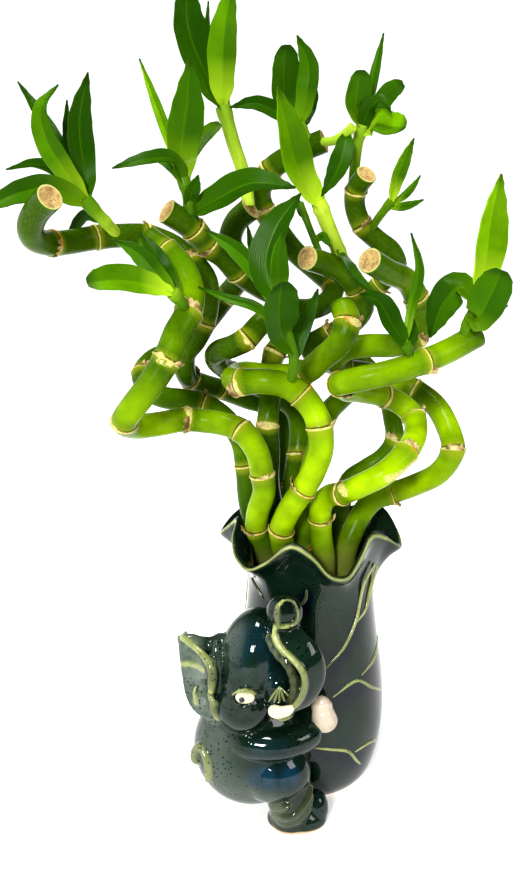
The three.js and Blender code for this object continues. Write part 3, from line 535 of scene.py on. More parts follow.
class Look:
    """A material in the making: each method adds a node and gives back what the node puts out"""

    def __init__(self, name, **sockets):
        self.material = bpy.data.materials.new(name)
        self.material.use_nodes = True
        self.tree = self.material.node_tree
        self.shader = self.tree.nodes["Principled BSDF"]
        for socket, value in sockets.items():
            self.shader.inputs[socket.replace("_", " ")].default_value = value
        self.place = self.node("ShaderNodeTexCoord", output=3)

    def node(self, kind, inputs=None, output=0, **settings):
        return add_node(self.tree, kind, inputs, output, **settings)

    def feed(self, socket, value):
        self.tree.links.new(value, self.shader.inputs[socket])

    def mix(self, factor, first, second):
        """The first colour where the factor is 0, the second where it is 1"""
        ends = [colour if isinstance(colour, bpy.types.NodeSocket) else (*colour, 1)
                for colour in (first, second)]
        return self.node("ShaderNodeMix", {0: factor, 6: ends[0], 7: ends[1]}, 2, data_type="RGBA")

    def ramp(self, value, *steps):
        """(position, colour) steps that the value runs through from 0 to 1"""
        colour = self.node("ShaderNodeValToRGB", {0: value})
        marks = colour.node.color_ramp.elements
        while len(marks) < len(steps):
            marks.new(0.5)
        for mark, (position, shade) in zip(marks, steps):
            mark.position = position
            mark.color = (*shade, 1)
        return colour

    def fit(self, value, low, high, out_low=0.0, out_high=1.0):
        """The value's range from low to high, spread over another range"""
        return self.node("ShaderNodeMapRange", {
            "Value": value, "From Min": low, "From Max": high, "To Min": out_low, "To Max": out_high})

    def sum(self, *values, operation="ADD"):
        return self.node("ShaderNodeMath", dict(enumerate(values)), operation=operation)

    def less(self, *values):
        return self.sum(*values, operation="SUBTRACT")

    def times(self, *values):
        return self.sum(*values, operation="MULTIPLY")

    def most(self, *values):
        return self.sum(*values, operation="MAXIMUM")

    def size(self, value):
        return self.sum(value, operation="ABSOLUTE")

    def mottle(self, scale, detail=3.0, roughness=0.55, vector=None):
        return self.node("ShaderNodeTexNoise", {
            "Vector": self.place if vector is None else vector, "Scale": scale, "Detail": detail,
            "Roughness": roughness})

    def stretched(self, vector, scale):
        return self.node("ShaderNodeMapping", {"Vector": vector, "Scale": scale})

    def cells(self, scale):
        return self.node("ShaderNodeTexVoronoi", {"Vector": self.place, "Scale": scale})

    def uv(self):
        return self.node("ShaderNodeUVMap", uv_map="UVMap")

    def axis(self, vector, number):
        return self.node("ShaderNodeSeparateXYZ", {"Vector": vector}, number)

    def own(self, name):
        """A value that each point of the piece carries"""
        return self.node("ShaderNodeAttribute", output=2, attribute_name=name)

    def bumps(self, height, strength, distance):
        self.feed("Normal", self.node("ShaderNodeBump", {
            "Height": height, "Strength": strength, "Distance": distance * MM}))


def stalk_green(look, streaks, ragged):
    """The stalk's green, partly its own tone and partly painted shade, patchy and finely lined, and stained
    where it stands in the neck
    """
    green = look.ramp(look.own("tone_and_shade"), (0, (0.012, 0.03, 0.001)), (0.5, (0.07, 0.16, 0.001)),
                      (1, (0.4, 0.62, 0.001)))
    patches = look.fit(look.mottle(38), 0.38, 0.72, 0, 0.72)
    deep = look.mix(patches, green, (0.012, 0.045, 0.001))
    lined = look.mix(look.fit(streaks, 0.45, 0.75, 0, 0.14), deep, (0.36, 0.5, 0.002))
    in_neck = look.fit(look.axis(look.place, 2), 0.138, 0.149, 0.72, 0)
    return look.mix(in_neck, lined, look.mix(ragged, (0.05, 0.07, 0.004), (0.24, 0.22, 0.07)))


def ring_bark(look, ragged):
    bark = look.ramp(ragged, (0.28, (0.13, 0.07, 0.012)), (0.42, (0.44, 0.34, 0.09)),
                     (0.58, (0.74, 0.68, 0.28)))
    rust = look.fit(look.mottle(90, 2), 0.58, 0.66)
    return look.mix(rust, bark, (0.6, 0.2, 0.01))


def stalk_look():
    look = Look("bamboo_stalk", Roughness=0.17, Specular_IOR_Level=0.06)
    streaks = look.mottle(3, 4, vector=look.stretched(look.uv(), (26, 1.2, 1)))
    ragged = look.mottle(4, 5, 0.7, look.stretched(look.uv(), (7, 5, 1)))
    gap = look.own("ring_gap")
    wander = look.fit(ragged, 0.2, 0.8, -0.5, 0.5)
    from_ring = look.size(look.sum(gap, wander))
    halo = look.fit(from_ring, 1, 4.5, 0.45, 0)
    skin = look.mix(halo, stalk_green(look, streaks, ragged), (0.36, 0.4, 0.02))
    above = look.size(look.less(look.sum(look.own("ring_side"), wander), 0.85))
    shadow = look.times(look.fit(above, 0.1, 0.5, 0.9, 0), look.fit(gap, 2, 2.6, 1, 0))
    skin = look.mix(shadow, skin, (0.03, 0.022, 0.006))
    width = look.fit(look.mottle(55, 2), 0.58, 0.72, 0.45, 2)
    ring = look.fit(look.less(from_ring, width), -0.15, 0.15, 1, 0)
    papery = look.sum(look.own("papery"), look.less(ragged, 0.5))
    ring = look.most(ring, look.fit(papery, 0.62, 0.7))
    look.feed("Base Color", look.mix(ring, skin, ring_bark(look, ragged)))
    look.feed("Roughness", look.fit(ring, 0, 1, 0.17, 0.75))
    look.bumps(look.sum(streaks, look.times(ring, ragged)), 0.22, 0.5)
    return look.material


def cut_look():
    look = Look("cut_end", Roughness=0.85)
    blotch = look.fit(look.mottle(260), 0.4, 0.7)
    tan = look.mix(blotch, (0.48, 0.34, 0.12), (0.26, 0.16, 0.05))
    dotted = look.mix(look.fit(look.cells(850), 0.25, 0.45, 0.6, 0), tan, (0.11, 0.05, 0.015))
    # On the cut face this value is each row's share of the radius, and its outer rows make the pale rim
    edge = look.fit(look.own("tone_and_shade"), 0.8, 0.88)
    look.feed("Base Color", look.mix(edge, dotted, (0.5, 0.42, 0.19)))
    look.bumps(look.mottle(900, 4), 0.5, 0.4)
    return look.material


def sheath_look():
    look = Look("dry_sheath", Roughness=0.75)
    soft = look.mottle(220)
    look.feed("Base Color", look.ramp(soft, (0.38, (0.12, 0.06, 0.015)), (0.5, (0.36, 0.26, 0.09)),
                                      (0.64, (0.6, 0.5, 0.24))))
    look.bumps(soft, 0.4, 0.4)
    return look.material


def leaf_look():
    look = Look("bamboo_leaf", Roughness=0.22, Specular_IOR_Level=0.04, Subsurface_Weight=0.12,
                Subsurface_Radius=(0.6, 1.0, 0.1), Subsurface_Scale=0.002)
    uv = look.uv()
    bright = look.own("brightness")
    across = look.axis(uv, 0)
    along = look.axis(uv, 1)
    veins = look.node("ShaderNodeTexWave", {
        "Vector": uv, "Scale": 6.2, "Distortion": 0.6, "Detail": 2, "Detail Scale": 1.5},
        1, wave_type="BANDS", bands_direction="X")
    blade = look.ramp(bright, (0, (0.006, 0.034, 0.001)), (0.5, (0.055, 0.16, 0.001)),
                      (1, (0.26, 0.5, 0.001)))
    lighter = look.mix(0.4, blade, (0.1, 0.24, 0.001))
    blade = look.mix(look.fit(look.mottle(70), 0.35, 0.7, 0, 0.5), blade, (0.014, 0.06, 0.001))
    blade = look.mix(look.fit(veins, 0.3, 1, 0, 0.5), blade, lighter)
    rib = look.fit(look.size(look.less(across, 0.5)), 0.012, 0.05, 0.3, 0)
    blade = look.mix(rib, blade, (0.1, 0.24, 0.002))
    # Painted shade: the half of the folded blade on one side of the midrib is darker
    blade = look.mix(look.fit(across, 0.46, 0.54, 0, 0.45), blade, (0.01, 0.048, 0.001))
    blade = look.mix(look.fit(along, 0.88, 1, 0, 0.75), blade, (0.012, 0.035, 0.002))
    foot = look.ramp(bright, (0.1, (0.03, 0.1, 0.001)), (0.4, (0.14, 0.27, 0.004)),
                     (0.7, (0.48, 0.68, 0.03)))
    look.feed("Base Color", look.mix(look.fit(along, 0, 0.42, 0.95, 0), blade, foot))
    look.bumps(look.sum(veins, look.times(rib, -1.5)), 0.25, 0.25)
    return look.material


def stem_look():
    look = Look("shoot_stem", Roughness=0.3, Specular_IOR_Level=0.07)
    lines = look.mottle(4, vector=look.stretched(look.uv(), (20, 1, 1)))
    green = look.ramp(look.own("brightness"), (0, (0.012, 0.045, 0.001)), (0.5, (0.1, 0.22, 0.002)),
                      (1, (0.56, 0.74, 0.06)))
    green = look.mix(look.fit(look.mottle(60), 0.35, 0.7, 0, 0.4), green, (0.05, 0.14, 0.002))
    green = look.mix(look.fit(lines, 0.45, 0.7, 0, 0.5), green, (0.1, 0.22, 0.01))
    look.feed("Base Color", green)
    look.bumps(lines, 0.2, 0.3)
    return look.material


def thick_glaze(look, cloudy, streaks):
    """The dark glaze, with a blue tint and darker bands just below the veins, partly glaze pooling and
    partly painted shade
    """
    blue = look.mottle(17, vector=look.stretched(look.place, (1, 1, 0.6)))
    body = look.mix(look.fit(cloudy, 0.35, 0.68), (0.002, 0.009, 0.005), (0.009, 0.026, 0.015))
    body = look.mix(look.fit(blue, 0.52, 0.75, 0, 0.4), body, (0.002, 0.009, 0.014))
    body = look.mix(look.fit(streaks, 0.5, 0.8, 0, 0.6), body, (0.004, 0.02, 0.009))
    # Darker bands below the veins, partly glaze pooling and partly painted shade
    return look.mix(look.own("pooling_and_shade"), body, (0.001, 0.003, 0.012))


def glaze_look():
    look = Look("green_black_glaze", Roughness=0.05, Specular_IOR_Level=0.4)
    cloudy = look.mottle(28, 4)
    streaks = look.mottle(95, 4, vector=look.stretched(look.place, (1, 1, 0.22)))
    # Painted grey reflection, as if the glaze mirrored bright surroundings
    reflection_grey = look.mix(look.fit(streaks, 0.3, 0.7), (0.075, 0.105, 0.085), (0.15, 0.19, 0.145))
    glaze = look.mix(look.own("painted_reflection"), thick_glaze(look, cloudy, streaks), reflection_grey)
    # Painted blue-green reflection, streaked
    blue_reflection = look.times(look.own("blue"), look.fit(streaks, 0.35, 0.6))
    glaze = look.mix(blue_reflection, glaze, (0.006, 0.038, 0.066))
    worn = look.times(look.own("thin_glaze"), look.fit(cloudy, 0.3, 0.6, 0.75, 1))
    light = look.mix(look.fit(streaks, 0.35, 0.7), (0.32, 0.36, 0.11), (0.56, 0.6, 0.24))
    glaze = look.mix(worn, glaze, light)
    speckled = look.times(look.fit(look.mottle(30, 2), 0.42, 0.56), look.less(1, worn))
    specks = look.times(look.fit(look.cells(420), 0.2, 0.28, 1, 0), speckled)
    glaze = look.mix(specks, glaze, (0.001, 0.002, 0.003))
    uneven = look.sum(look.axis(look.place, 2), look.fit(cloudy, 0.3, 0.7, 0, 0.001))
    bare_foot = look.fit(uneven, 0.0016, 0.0022, 1, 0)
    look.feed("Base Color", look.mix(bare_foot, glaze, (0.58, 0.42, 0.25)))
    look.feed("Roughness", look.fit(bare_foot, 0, 1, 0.05, 0.8))
    look.bumps(look.less(cloudy, specks), 0.12, 0.6)
    return look.material


def mottled_look(name, first, second, scale, low=0.0, high=1.0, bumps=None, **sockets):
    """A plain material of two colours; bumps are (strength, distance in mm)"""
    look = Look(name, **sockets)
    soft = look.mottle(scale)
    look.feed("Base Color", look.mix(look.fit(soft, low, high), first, second))
    if bumps:
        look.bumps(soft, *bumps)
    return look.material


def cream_look():
    return mottled_look("cream_glaze", (0.72, 0.66, 0.46), (0.5, 0.47, 0.3), 90, 0.4, 0.75, (0.1, 0.5),
                        Roughness=0.12, Coat_Weight=0.5, Coat_Roughness=0.05)


def paw_look():
    return mottled_look("worn_cream_glaze", (0.56, 0.48, 0.37), (0.38, 0.32, 0.24), 110, 0.35, 0.75,
                        (0.15, 0.6), Roughness=0.25)


def pupil_look():
    return mottled_look("black_glaze", (0.002, 0.002, 0.003), (0.012, 0.012, 0.014), 300,
                        Roughness=0.08, Coat_Weight=0.5)


def water_look():
    return mottled_look("vase_water", (0.72, 0.86, 0.74), (0.8, 0.9, 0.8), 12,
                        Roughness=0.02, IOR=1.33, Transmission_Weight=0.9)


def floor_look():
    """White, with a painted glow: it glows right of a slanting line, left of x = -0.28 m and from y = -0.1 m
    back, but not in the strip in front of the vase, so the glaze shows bright and dark reflections; a
    further glow towards the back keeps the far floor white
    """
    look = Look("white_sweep", Roughness=0.6, Emission_Color=(1, 1, 1, 1))
    soft = look.mottle(6, 4)
    look.feed("Base Color", look.mix(soft, (0.8, 0.8, 0.79), (0.84, 0.835, 0.83)))
    x = look.axis(look.place, 0)
    y = look.axis(look.place, 1)
    # Painted glow: the floor is lit from within to the right, to the left and near the vase, and not in
    # front of it
    right = look.fit(look.sum(x, look.times(y, 0.17)), -0.008, 0.008)
    left = look.fit(x, -0.3, -0.26, 1, 0)
    close = look.fit(y, -0.13, -0.1)
    reflection_glow = look.fit(look.most(look.most(right, left), close), 0, 1, 0, 0.35)
    look.feed("Emission Strength", look.sum(reflection_glow, look.fit(y, -0.05, 0.2, 0, 0.6)))
    return look.material


# Making the plant

stalk_sides = 28
foot_share = 0.9
foot_lean = 0.97
cut_length = 0.6
row_gap = 2.6
fine_row_gap = 0.55
skin_fill = 0.985
ring_reach = 4.4
ring_tilt = 0.9
ring_profile = [
    (-6, 0.99), (-2.6, 1.03), (-0.9, 1.06), (-0.45, 1.12), (0.0, 1.13), (0.4, 1.07), (1.0, 1.02), (2.8, 1.0),
    (6, 0.985),
]
cut_end = [(-0.25, skin_fill), (0, 0.93), (-0.1, 0.8), (-0.5, 0.66), (-0.6, 0.3), (-0.45, 0)]
scrap_rows = 5
scrap_columns = 9
scrap_thickness = 0.22
bare_below = -0.35

# How yellow a stalk is by its height, from the vase's mouth up, and between two of its rings. By height it
# is partly the stalk's own tone and partly painted shade, darker down in the vase's mouth and higher up
tone_and_shade_by_height = [(118, 0.55), (150, 0.85), (175, 1.0), (205, 0.9), (245, 0.68), (330, 0.5)]
warmth_between = [(0, 0.82), (0.25, 1.1), (0.7, 1.0), (1, 0.72)]
warmth_change = 0.08

# Where old sheaths left papery patches: (line, width, strength) for each stalk
papery_patches = {
    "stalk_02": [([(-75, -67, 252), (-71, -67, 251)], 3.4, 0.75)],
    "stalk_03": [([(-10, -48, 243), (-7, -48, 243)], 2.6, 0.7)],
    "stalk_04": [([(9, -48, 188), (12, -52, 185)], 4.2, 0.8),
                 ([(31, -59, 194), (40, -57, 196), (47, -50, 200)], 3.6, 0.74)],
    "stalk_06": [([(-49, -21, 252), (-45, -23, 254)], 3.4, 0.78)],
}


def stalk_points(foot, knots):
    x, y = foot
    return [(foot_lean * x, foot_lean * y, floor_top + 0.3), (x, y, 60), (x, y, neck_height + 2), *knots]


def stalk_stations(run, first, last, ring_at):
    """(distance, radius) of each row: close together at the rings, with the cut face at the end"""
    stations = [(0, 0), (0, foot_share * first)]
    distance = 0.0
    while distance < run.length - cut_length:
        stations.append((distance, skin_fill * (first + (last - first) * distance / run.length)))
        near = min(abs(distance - ring) for ring in ring_at)
        distance += fine_row_gap if near < ring_reach else min(row_gap, near - ring_reach + fine_row_gap)
    return stations + [(run.length + back, share * last) for back, share in cut_end]


def stalk_glow(run, stations, ring_at, tone_and_shade, number):
    """How yellow each row is, partly the stalk's own tone and partly painted shade, a little different
    between each two rings
    """
    glow = []
    for distance, _ in stations:
        joint = bisect_right(ring_at, distance)
        low = ring_at[joint - 1] if joint > 0 else 0
        high = ring_at[joint] if joint < len(ring_at) else run.length
        shade = level((distance - low) / (high - low), warmth_between)
        shade += warmth_change * math.sin(5.1 * number + 2.3 * joint)
        glow.append(min(1, max(0, tone_and_shade * shade * level(run.at(distance).z, tone_and_shade_by_height))))
    return glow


def sheath_scraps(number, run, ring_at, radii, look):
    """Dry, curled remains of the old sheaths, on most of the rings"""
    scraps = []
    for index, (ring, radius) in enumerate(zip(ring_at, radii)):
        chance = math.sin(3.7 * number + 2.3 * index)
        if chance < bare_below:
            continue
        heading = run.heading(ring)
        side = heading.cross(toward_viewer).normalized()
        face = side.cross(heading)
        middle = 1.3 * math.sin(5.3 * number + 1.9 * index)
        spread = 0.5 + 0.3 * chance
        length = 2.4 + 1.6 * abs(chance)
        curl = 0.7 + 1.0 * abs(math.sin(index + number))
        rows = []
        for row in range(scrap_rows + 1):
            t = row / scrap_rows
            line = []
            for column in range(scrap_columns + 1):
                s = 2 * column / scrap_columns - 1
                ragged = 0.35 + 0.65 * abs(math.sin(2.1 * column + 1.7 * index + number))
                turn = middle + spread * s * (1 - 0.3 * t)
                reach = 1.1 * radius + curl * t * t
                place = run.at(ring + length * t * ragged)
                line.append(place + (face * math.cos(turn) + side * math.sin(turn)) * reach)
            rows.append(line)
        scrap = sheet_over("sheath_scrap", rows)
        apply_modifier(scrap, "SOLIDIFY", thickness=scrap_thickness * MM, offset=0.0)
        scrap.data.materials.append(look)
        smooth_shaded(scrap)
        scraps.append(scrap)
    return scraps


def make_stalk(name, looks):
    foot, (first, last), tone_and_shade, rings, knots = stalks[name]
    number = int(name[-2:])
    points = stalk_points(foot, knots)
    run = Run(points)
    ring_at = [run.nearest(points[ring + 3]) for ring in rings]
    tilts = [ring_tilt * math.sin(2.3 * number + 1.7 * index) for index in range(len(rings))]
    stations = stalk_stations(run, first, last, ring_at)
    cut_row = len(stations) - len(cut_end)
    columns = stalk_sides + 1

    def gap_at(row, turn):
        """Distance to the nearest ring, less than 0 below it"""
        gaps = [stations[row][0] - ring - tilt * math.cos(turn - number - index)
                for index, (ring, tilt) in enumerate(zip(ring_at, tilts))]
        return min(gaps, key=abs)

    def swell(row, turn):
        return 1.0 if row >= cut_row else level(gap_at(row, turn), ring_profile)

    piece = sheet_over(name + "_cane", tube_rows(run, stations, stalk_sides, swell))
    for face in piece.data.polygons:
        face.material_index = int(face.index >= (cut_row + 1) * stalk_sides)
    gaps = [gap_at(row, 2 * math.pi * column / stalk_sides)
            for row in range(len(stations)) for column in range(columns)]
    give_each_point(piece, "ring_gap", [abs(gap) for gap in gaps])
    give_each_point(piece, "ring_side", gaps)
    # Each row's yellow: partly the stalk's own tone, partly painted shade that darkens the stalks further
    # back, the parts down in the vase's mouth and the parts higher up
    glow = stalk_glow(run, stations, ring_at, tone_and_shade, number)
    glow[cut_row + 1:] = [radius / last for _, radius in stations[cut_row + 1:]]
    give_each_point(piece, "tone_and_shade", [value for value in glow for _ in range(columns)])
    layer = piece.data.uv_layers.active.data
    for loop in piece.data.loops:
        row = loop.vertex_index // columns
        layer[loop.index].uv = (layer[loop.index].uv[0], stations[row][0] / 10)
    close_seams(piece)
    if name in papery_patches:
        give_each_point(piece, "papery", nearness(piece, papery_patches[name]))
    skin, cut_face, sheath = looks
    piece.data.materials.append(skin)
    piece.data.materials.append(cut_face)
    smooth_shaded(piece)
    radii = [first + (last - first) * ring / run.length for ring in ring_at]
    whole = joined(name + "_cane", [piece, *sheath_scraps(number, run, ring_at, radii, sheath)])
    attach(whole, "root")
    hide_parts(name)


stem_rows = 40
stem_sides = 16
joint_swell = 0.1
most_swell = 0.16

blade_fullness = [(0, 0.26), (0.2, 0.82), (0.45, 1), (0.62, 0.9), (0.78, 0.64), (0.92, 0.27), (1, 0.03)]
blunt_fullness = [
    (0, 0.16), (0.1, 0.42), (0.28, 0.82), (0.5, 1), (0.75, 0.97), (0.9, 0.78), (0.97, 0.5), (1, 0.3),
]
blade_fold = 0.16
base_fold = [(0, 0.28), (0.16, 0.0)]
most_roll = 0.4
toward_viewer = Vector((0.15, -1, 0.4)).normalized()
blade_rows = 30
blade_columns = 10
blade_thickness = 0.65
groove_depth = 0.25
wave_height = 0.045


def make_blade(name, index, base, leaf, look):
    width, _, brightness, points, *blunt = leaf
    run = Run([base, *points])
    roll = most_roll * math.sin(2.4 * (index + 1))
    fullness = blunt_fullness if blunt else blade_fullness
    rows = []
    for row in range(blade_rows + 1):
        share = row / blade_rows
        rib = run.at(run.length * share)
        heading = run.heading(run.length * share)
        facing = (toward_viewer - heading * toward_viewer.dot(heading)).normalized()
        facing = Matrix.Rotation(roll, 3, heading) @ facing
        across = heading.cross(facing)
        half = width * level(share, fullness) / 2
        cup = blade_fold + level(share, base_fold)
        line = []
        for column in range(blade_columns + 1):
            t = 2 * column / blade_columns - 1
            lift = 2 * half * cup * abs(t) ** 1.25
            wave = wave_height * half * t * t * math.sin(11 * share + index + (1.3 if t > 0 else 0))
            groove = -groove_depth * max(0, 1 - abs(t) * 5)
            line.append(rib + across * (half * t) + facing * (lift + wave + groove))
        rows.append(line)
    piece = sheet_over(name, rows)
    give_all_points(piece, "brightness", brightness)
    apply_modifier(piece, "SOLIDIFY", thickness=blade_thickness * MM, offset=-1.0)
    piece.data.materials.append(look)
    smooth_shaded(piece, 70)
    return piece


def make_stem(name, run, radius, glow, starts, look):
    stations = [(0, 0), (0, 0.8 * radius)]
    for step in range(stem_rows + 1):
        distance = run.length * step / stem_rows
        swell = sum(joint_swell * math.exp(-((distance - start) / 1.6) ** 2) for start in starts)
        stations.append((distance, radius * (1 + 0.1 * step / stem_rows) * (1 + min(swell, most_swell))))
    stations.append((run.length + 0.3, 0))
    stem = closed_sheet(name + "_stem", tube_rows(run, stations, stem_sides))
    stem.data.materials.append(look)
    smooth_shaded(stem)
    low, high = glow
    foot = run.places[0] * MM
    reach = run.length * MM
    shares = [min(1, (vertex.co - foot).length / reach) for vertex in stem.data.vertices]
    give_each_point(stem, "brightness", [low + (high - low) * share for share in shares])
    return stem


def make_shoot(name, looks):
    radius, glow, line, leaves = shoots[name]
    leaf_skin, stem_skin = looks
    run = Run(line)
    starts = [leaf[1] * run.length for leaf in leaves]
    pieces = [make_stem(name, run, radius, glow, starts, stem_skin)]
    for index, leaf in enumerate(leaves):
        pieces.append(make_blade(name, index, run.at(starts[index]), leaf, leaf_skin))
    whole = joined(name + "_leaves", pieces)
    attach(whole, "root")
    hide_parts(name)


# The vase and the elephant

def pot_shell():
    edge = smooth_line(rim_points, 20, closed=True)
    picks = [edge[int(len(edge) * column / pot_columns)] for column in range(pot_columns)]
    spans = [(math.atan2(point.y, point.x), math.hypot(point.x, point.y), point.z) for point in picks]
    spans.append(spans[0])

    def lip_row(share, inward=0.0, lift=0.0):
        out, up = share
        return [polar(turn, neck_radius + (reach - neck_radius) * out - inward,
                      neck_height + (top - neck_height) * up + lift) for turn, reach, top in spans]

    def ring(radius, height):
        return [polar(turn, radius, height) for turn, _, _ in spans]

    rows = [ring(*place) for place in outer_wall]
    rows += [lip_row(share) for share in lip_shape]
    rows += [lip_row((1, 1.02), 0.6, 0.4), lip_row((0.97, 1.07), 2.0, 0.4)]
    rows += [lip_row(lip_shape[3], wall - 0.6, 2.2), lip_row(lip_shape[2], wall - 0.2, 1.6)]
    rows += [lip_row(lip_shape[1], wall, 0.8), lip_row(lip_shape[0], wall, 0.2)]
    rows += [ring(*place) for place in inner_wall]
    columns = [smooth_line([row[column] for row in rows], 3) for column in range(pot_columns + 1)]
    return closed_sheet("vase_glazed", list(zip(*columns)))


def wall_radius(height):
    if height > neck_height:
        return neck_radius + (height - neck_height) * neck_flare
    for (r0, z0), (r1, z1) in zip(outer_wall[1:], outer_wall[2:]):
        if height <= z1:
            return r0 + (r1 - r0) * (height - z0) / (z1 - z0)


def vein_line(path):
    return [tuple(polar(math.radians(turn), wall_radius(height) - vein_sink, height))
            for turn, height in path]


def trunk_band():
    """The raised trunk: round outside, its underside hollow and ribbed"""
    ridge, bulge, depth, width = (
        smooth_line(line, 6) for line in
        (trunk_ridge, trunk_bulge, trunk_depth, [(value, 0, at) for at, value in enumerate(trunk_width)]))
    rows = []
    for index, (edge, out, deep, wide) in enumerate(zip(ridge, bulge, depth, width)):
        out = out.normalized()
        row = []
        for step in range(trunk_half):
            t = step / trunk_half
            row.append(edge + deep * t + out * (wide.x * math.sin(math.pi * t) ** 0.7))
        for step in range(trunk_half):
            t = 1 - step / trunk_half
            rib = rib_height * math.sin(index * 2 * math.pi / rib_spacing) * math.sin(math.pi * t)
            row.append(edge + deep * t + out * (hollow_bulge * math.sin(math.pi * t) + rib))
        rows.append(row + row[:1])
    for end in (0, -1):
        middle = sum(rows[end][:-1], Vector()) / (2 * trunk_half)
        cap = [[place.lerp(middle, 0.5) for place in rows[end]], [middle] * (2 * trunk_half + 1)]
        rows = cap[::-1] + rows if end == 0 else rows + cap
    return closed_sheet("trunk", rows)


def near_ear():
    """A cupped sheet between the front and the back edge of the ear, folded in its middle"""
    front = smooth_line(ear_front, 5)
    back = smooth_line(ear_back, 5)
    rows = []
    for index, (first, last) in enumerate(zip(front, back)):
        share = index / (len(front) - 1)
        row = []
        for step in range(ear_columns + 1):
            t = step / ear_columns
            cup = ear_cup * math.sin(math.pi * t)
            fold = ear_fold * math.sin(math.pi * t) * math.sin(ear_waves * math.pi * share + 2 * t)
            row.append(first.lerp(last, t) + ear_hollow * (cup + fold))
        rows.append(row)
    piece = sheet_over("ear", rows)
    apply_modifier(piece, "SOLIDIFY", thickness=ear_thickness * MM, offset=0.0)
    return piece


def cavity():
    """The hollow of the vase with half its wall"""
    profile = [(0, floor_top - wall / 2)]
    profile += [(radius + wall / 2, height - wall / 2) for radius, height in inner_wall[-2::-1]]
    profile += [(neck_radius - wall / 2, cutter_top), (0, cutter_top)]
    return turned("hollow", profile, 48)


def elephant_parts():
    return [
        ball("body", (-33.5, -42, 41), (31.5, 24.5, 33.5)),
        ball("shoulders", (-38, -44, 62), (20, 18, 16)),
        ball("head", (-33.6, -46, 91), (18.8, 22, 30), (0, 13, 0)),
        ball("cheek", (-37.5, -57, 72.6), (14.5, 14, 14)),
        ball("ear_root", (-51.5, -54, 90), (4.5, 6, 17)),
        ball("far_ear", (-44, -26, 80), (13, 6, 16)),
        tube("ear_top", ear_top, [1.6, 2.6, 4.2, 6.5, 8]),
        ball("thigh", (-21.5, -53.5, 32), (19.5, 15.5, 16.5)),
        tube("leg", leg_line, [11, 11.5, 11]),
        ball("foot", (-9.2, -52.4, 3), (16.2, 10.6, 8.5)),
        ball("toes", (1, -51, 8), (7, 7.5, 10)),
        tube("arm", arm_line, [9, 8.5, 8, 7.5, 6.5]),
        tube("tail", tail_line, [2.2, 2.2, 2.0, 1.6], 16),
        ball("tail_root", (-60.5, -52, 41.5), (3.4, 3, 4)),
        tube("upper_lid", upper_lid, [0.7, 1.1, 0.7], 12, 20),
        tube("lower_lid", lower_lid, [0.6, 1.1, 0.6], 12, 20),
        tube("under_eye", under_eye, [0.6, 1.1, 0.6], 12, 20),
        tube("ridge", trunk_ridge, [1.5, 1.7, 1.6, 1.2, 1.1], 14, 60),
        tube("ribs", trunk_ribs, [2.3, 2.9] * 8, 14, 90),
        tube("ear_rim", ear_front[:7], [1.2, 1.7, 2.2, 2.6, 2.2], 14, 40),
        tube("ear_lobe", ear_lobe, [1.3, 1.9, 1.1], 14, 30),
        tube("lower_lip", lower_lip, [1.4, 1.7, 1.2], 14),
        ball("chin", (-19, -62, 77), (8, 9.5, 5)),
        ball("trunk_tip", (-17, -62, 126), (9.2, 7.4, 9.6), (0, 6, 0)),
        tube("tip_rim", trunk_tip + trunk_tip[:1], [1.0, 1.5, 1.5, 1.0, 0.9, 0.9, 1.0], 12, 60),
        ball("trunk_root", (-20, -60, 86), (9, 9.5, 10)),
        trunk_band(),
        near_ear(),
        *[tube("ear_fold", fold, [0.6, 1.2, 0.9], 12, 20) for fold in ear_folds],
        *[tube("leg_fold", fold, [1.1, 2.2, 2.2, 1.1], 14, 30) for fold in leg_folds],
    ]


glaze_voxel = 0.85
fold_glaze = 0.42

# Where the glaze of the elephant is thin, and where a grey and a blue-green reflection are painted on it, as
# (line, width, strength)
thin_lines = [
    (ear_front[:7], 2.2, 0.95), (ear_lobe, 1.8, 0.55), (trunk_ridge, 1.6, 1.0), (trunk_ribs, 2.4, 0.4),
    (trunk_tip[:5], 1.3, 0.95), (trunk_tip[4:] + trunk_tip[:1], 1.2, 0.4), (tail_line, 2.2, 0.65),
    (upper_lid, 1.1, 0.7), ([(-22, -73, 75), (-18.3, -74, 74), (-14.5, -73.5, 75.4)], 1.2, 0.6),
    *[(fold, 1.6, 0.7) for fold in ear_folds], *[(fold, 2.5, 0.14) for fold in leg_folds],
]
# Painted grey reflection of the bright surroundings on the ear, the lower body and the back of the head
painted_reflection_parts = [
    ([(-67, -48, 102), (-64, -49, 90), (-62, -51, 78), (-58, -54, 67)], 9, 1.0),
    ([(-58, -56, 52), (-56, -58, 38), (-46, -62, 24), (-30, -64, 16)], 17, 0.36),
    ([(-48, -56, 104), (-44, -54, 112)], 10, 0.25),
]
# Painted blue-green reflections on the thigh, the forehead and the arm
painted_blue_reflections = [
    ([(-30, -67, 37), (-21, -69, 37), (-12, -68, 38)], 6.5, 0.9),
    ([(-34, -64, 112), (-28, -66, 100)], 12, 0.35),
    ([(-30, -69, 54), (-16, -70, 54)], 6, 0.35),
]


def finish_glazed(piece, look):
    piece.data.materials.clear()
    piece.data.materials.append(look)
    only(piece)
    bpy.ops.object.shade_smooth()
    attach(piece, "root")


